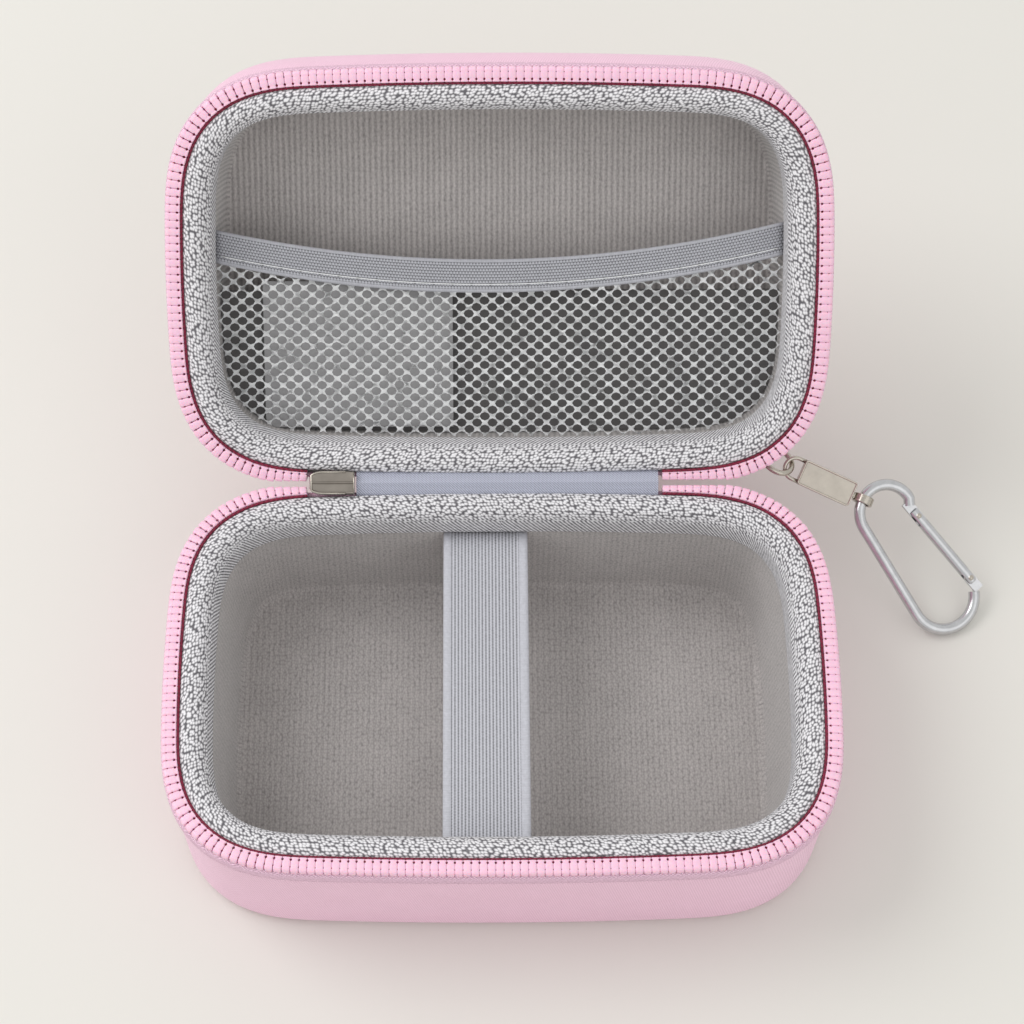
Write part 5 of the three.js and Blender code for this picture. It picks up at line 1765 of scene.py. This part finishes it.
class CASE_OT_clip(bpy.types.Operator):
    """Carabiner with its sprung gate and rivets"""

    bl_idname = "meter_case.clip"
    bl_label = "Carabiner"

    def execute(self, context):
        place = turned(CLIP_PLACE, CLIP_HEADING, CLIP_DROP, CLIP_ROLL)
        gate_turn = atan2(NOSE.y - TAIL.y, NOSE.x - TAIL.x)
        gate_place = place @ Matrix.Translation(TAIL) @ Matrix.Rotation(gate_turn, 4, "Z")
        span = (NOSE - TAIL).length
        self.body(place, gate_place, span)
        self.gate(gate_place, span)
        self.rivet("hinge_rivet", "gate_hinge_pin", gate_place)
        nose_place = gate_place @ Matrix.Translation((span - NOSE_PIN_IN, 0, 0))
        self.rivet("nose_rivet", "gate_nose_pin", nose_place)
        dress("gate_spring", "clip_metal")
        return {"FINISHED"}

    def body(self, place, gate_place, span):
        top = self.bend(CLIP_TOP, CLIP_TOP_RADIUS, -TOP_TURN, 0, TOP_STEPS)
        foot = self.bend(CLIP_FOOT, CLIP_FOOT_RADIUS, 0, FOOT_TURN, FOOT_STEPS)
        bm = bmesh.new()
        nose_end = (NOSE.x - NOSE_GAP, NOSE.y)
        wire(bm, place, [nose_end] + top + foot, CLIP_WIRE, sides=CLIP_SIDES)
        inside, pin = span - GATE_SLOT_DEPTH + SEAM_GAP, span - NOSE_PIN_IN
        end, high = span + NOSE_REACH, TONGUE_RADIUS
        nose = [(inside, -high), (end, -high), (end, high), (pin + NOTCH_BORE, high)]
        nose += arc((pin, 0), NOTCH_BORE, 0, -pi, NOTCH_STEPS)
        nose += [(pin - NOTCH_BORE, high), (inside, high)]
        tail = [(-TAIL_REACH, -TONGUE_RADIUS)] + arc((0, 0), TONGUE_RADIUS, -pi / 2, pi / 2, TONGUE_STEPS)
        tail.append((-TAIL_REACH, TONGUE_RADIUS))
        for outline in (nose, tail):
            slab(bm, gate_place, outline, -TONGUE_THICKNESS / 2, TONGUE_THICKNESS / 2)
        close_up(bm)
        piece("clip_frame", bm, "carabiner", "clip_metal", ["carabiner_body"], sharp=SHARP)

    def bend(self, x, radius, start, end, steps):
        """Points on a turn of the wire. The turn is nought where the wire meets the line y = 0."""
        turns = [start + (end - start) * k / steps for k in range(steps + 1)]
        return [(x + radius * sin(turn), radius * (1 - cos(turn))) for turn in turns]

    def gate(self, place, span):
        bm = bmesh.new()
        start, end = GATE_SLOT_END, span - GATE_SLOT_DEPTH
        rows = []
        for x, radius in ((start, GATE_BORE), (start, GATE_RADIUS), (end, GATE_RADIUS), (end, GATE_BORE)):
            rows.append([place @ Vector((x, y, z)) for y, z in circle(radius, GATE_SIDES)])
        sweep(bm, rows, lambda i, j, band: (i, j), ring=True, closed=True)
        slot = GATE_SLOT / 2
        edge = atan2(slot, sqrt(GATE_RADIUS**2 - slot**2))
        tail = [(run - GATE_TAIL, slim) for run, slim in GATE_TAIL_SLIM]
        tail += [(start, 1), (start + GATE_LIP, GATE_LIP_SLIM)]
        tip = [(end - GATE_LIP, GATE_LIP_SLIM), (end, 1), (span - GATE_TIP, 1), (span, GATE_TIP_SLIM)]
        turns = [edge + (pi - 2 * edge) * k / CHEEK_STEPS for k in range(CHEEK_STEPS + 1)]
        for sign in (-1, 1):
            cheek = [(GATE_RADIUS * cos(turn), sign * GATE_RADIUS * sin(turn)) for turn in turns]
            flat = sign * slot
            for ends in (tail, tip):
                rows = [[place @ Vector((x, y * slim, flat + (z - flat) * slim)) for y, z in cheek]
                        for x, slim in ends]
                sweep(bm, rows, lambda i, j, band: (i, j), ring=True)
        close_up(bm)
        piece("gate_tube", bm, "gate", "clip_metal", ["carabiner_gate"], sharp=SHARP)

    def rivet(self, name, node, place):
        head, crown = GATE_RADIUS + RIVET_DOME, RIVET_RADIUS * RIVET_CROWN_SHARE
        profile = [(0, -head), (crown, RIVET_CROWN - head), (RIVET_RADIUS, RIVET_STEP - GATE_RADIUS),
                   (RIVET_SHANK, 2 * RIVET_STEP - GATE_RADIUS)]
        profile += [(radius, -z) for radius, z in profile[::-1]]
        bm = bmesh.new()
        verts = [bm.verts.new((radius, 0, z)) for radius, z in profile]
        edges = [bm.edges.new(pair) for pair in zip(verts, verts[1:])]
        bmesh.ops.spin(bm, geom=verts + edges, cent=(0, 0, 0), axis=(0, 0, 1), angle=2 * pi,
                       steps=WIRE_SIDES, use_merge=True)
        bmesh.ops.remove_doubles(bm, verts=bm.verts, dist=WELD)
        bmesh.ops.transform(bm, verts=bm.verts, matrix=place)
        bmesh.ops.recalc_face_normals(bm, faces=bm.faces)
        body = body_of(frame["nodes"][node])
        body = body if isinstance(body, str) else body[0]
        piece(name, bm, body, "nickel", [node], sharp=SHARP)


STAGES = (
    CASE_OT_stage, CASE_OT_skins, CASE_OT_binding, CASE_OT_zip, CASE_OT_hinge, CASE_OT_strap,
    CASE_OT_pocket, CASE_OT_slider, CASE_OT_chain, CASE_OT_clip)


class CASE_PT_panel(bpy.types.Panel):
    """Sizes, colours and the steps that build the case"""

    bl_idname = "CASE_PT_panel"
    bl_label = "Meter Case"
    bl_space_type = "VIEW_3D"
    bl_region_type = "UI"
    bl_category = "Meter Case"

    def draw(self, context):
        for group in (context.scene.case_sizes, context.scene.case_colours):
            for name in group.bl_rna.properties.keys():
                if name not in ("rna_type", "name"):
                    self.layout.prop(group, name)
        for stage in STAGES:
            self.layout.operator(stage.bl_idname)


CLASSES = (CaseSizes, CaseColours, CASE_PT_panel) + STAGES


def register():
    for item in CLASSES:
        bpy.utils.register_class(item)
    bpy.types.Scene.case_sizes = bpy.props.PointerProperty(type=CaseSizes)
    bpy.types.Scene.case_colours = bpy.props.PointerProperty(type=CaseColours)


def unregister():
    del bpy.types.Scene.case_colours
    del bpy.types.Scene.case_sizes
    for item in reversed(CLASSES):
        bpy.utils.unregister_class(item)


def main():
    register()
    for stage in STAGES:
        group, name = stage.bl_idname.split(".")
        getattr(getattr(bpy.ops, group), name)()


if __name__ == "__main__":
    main()
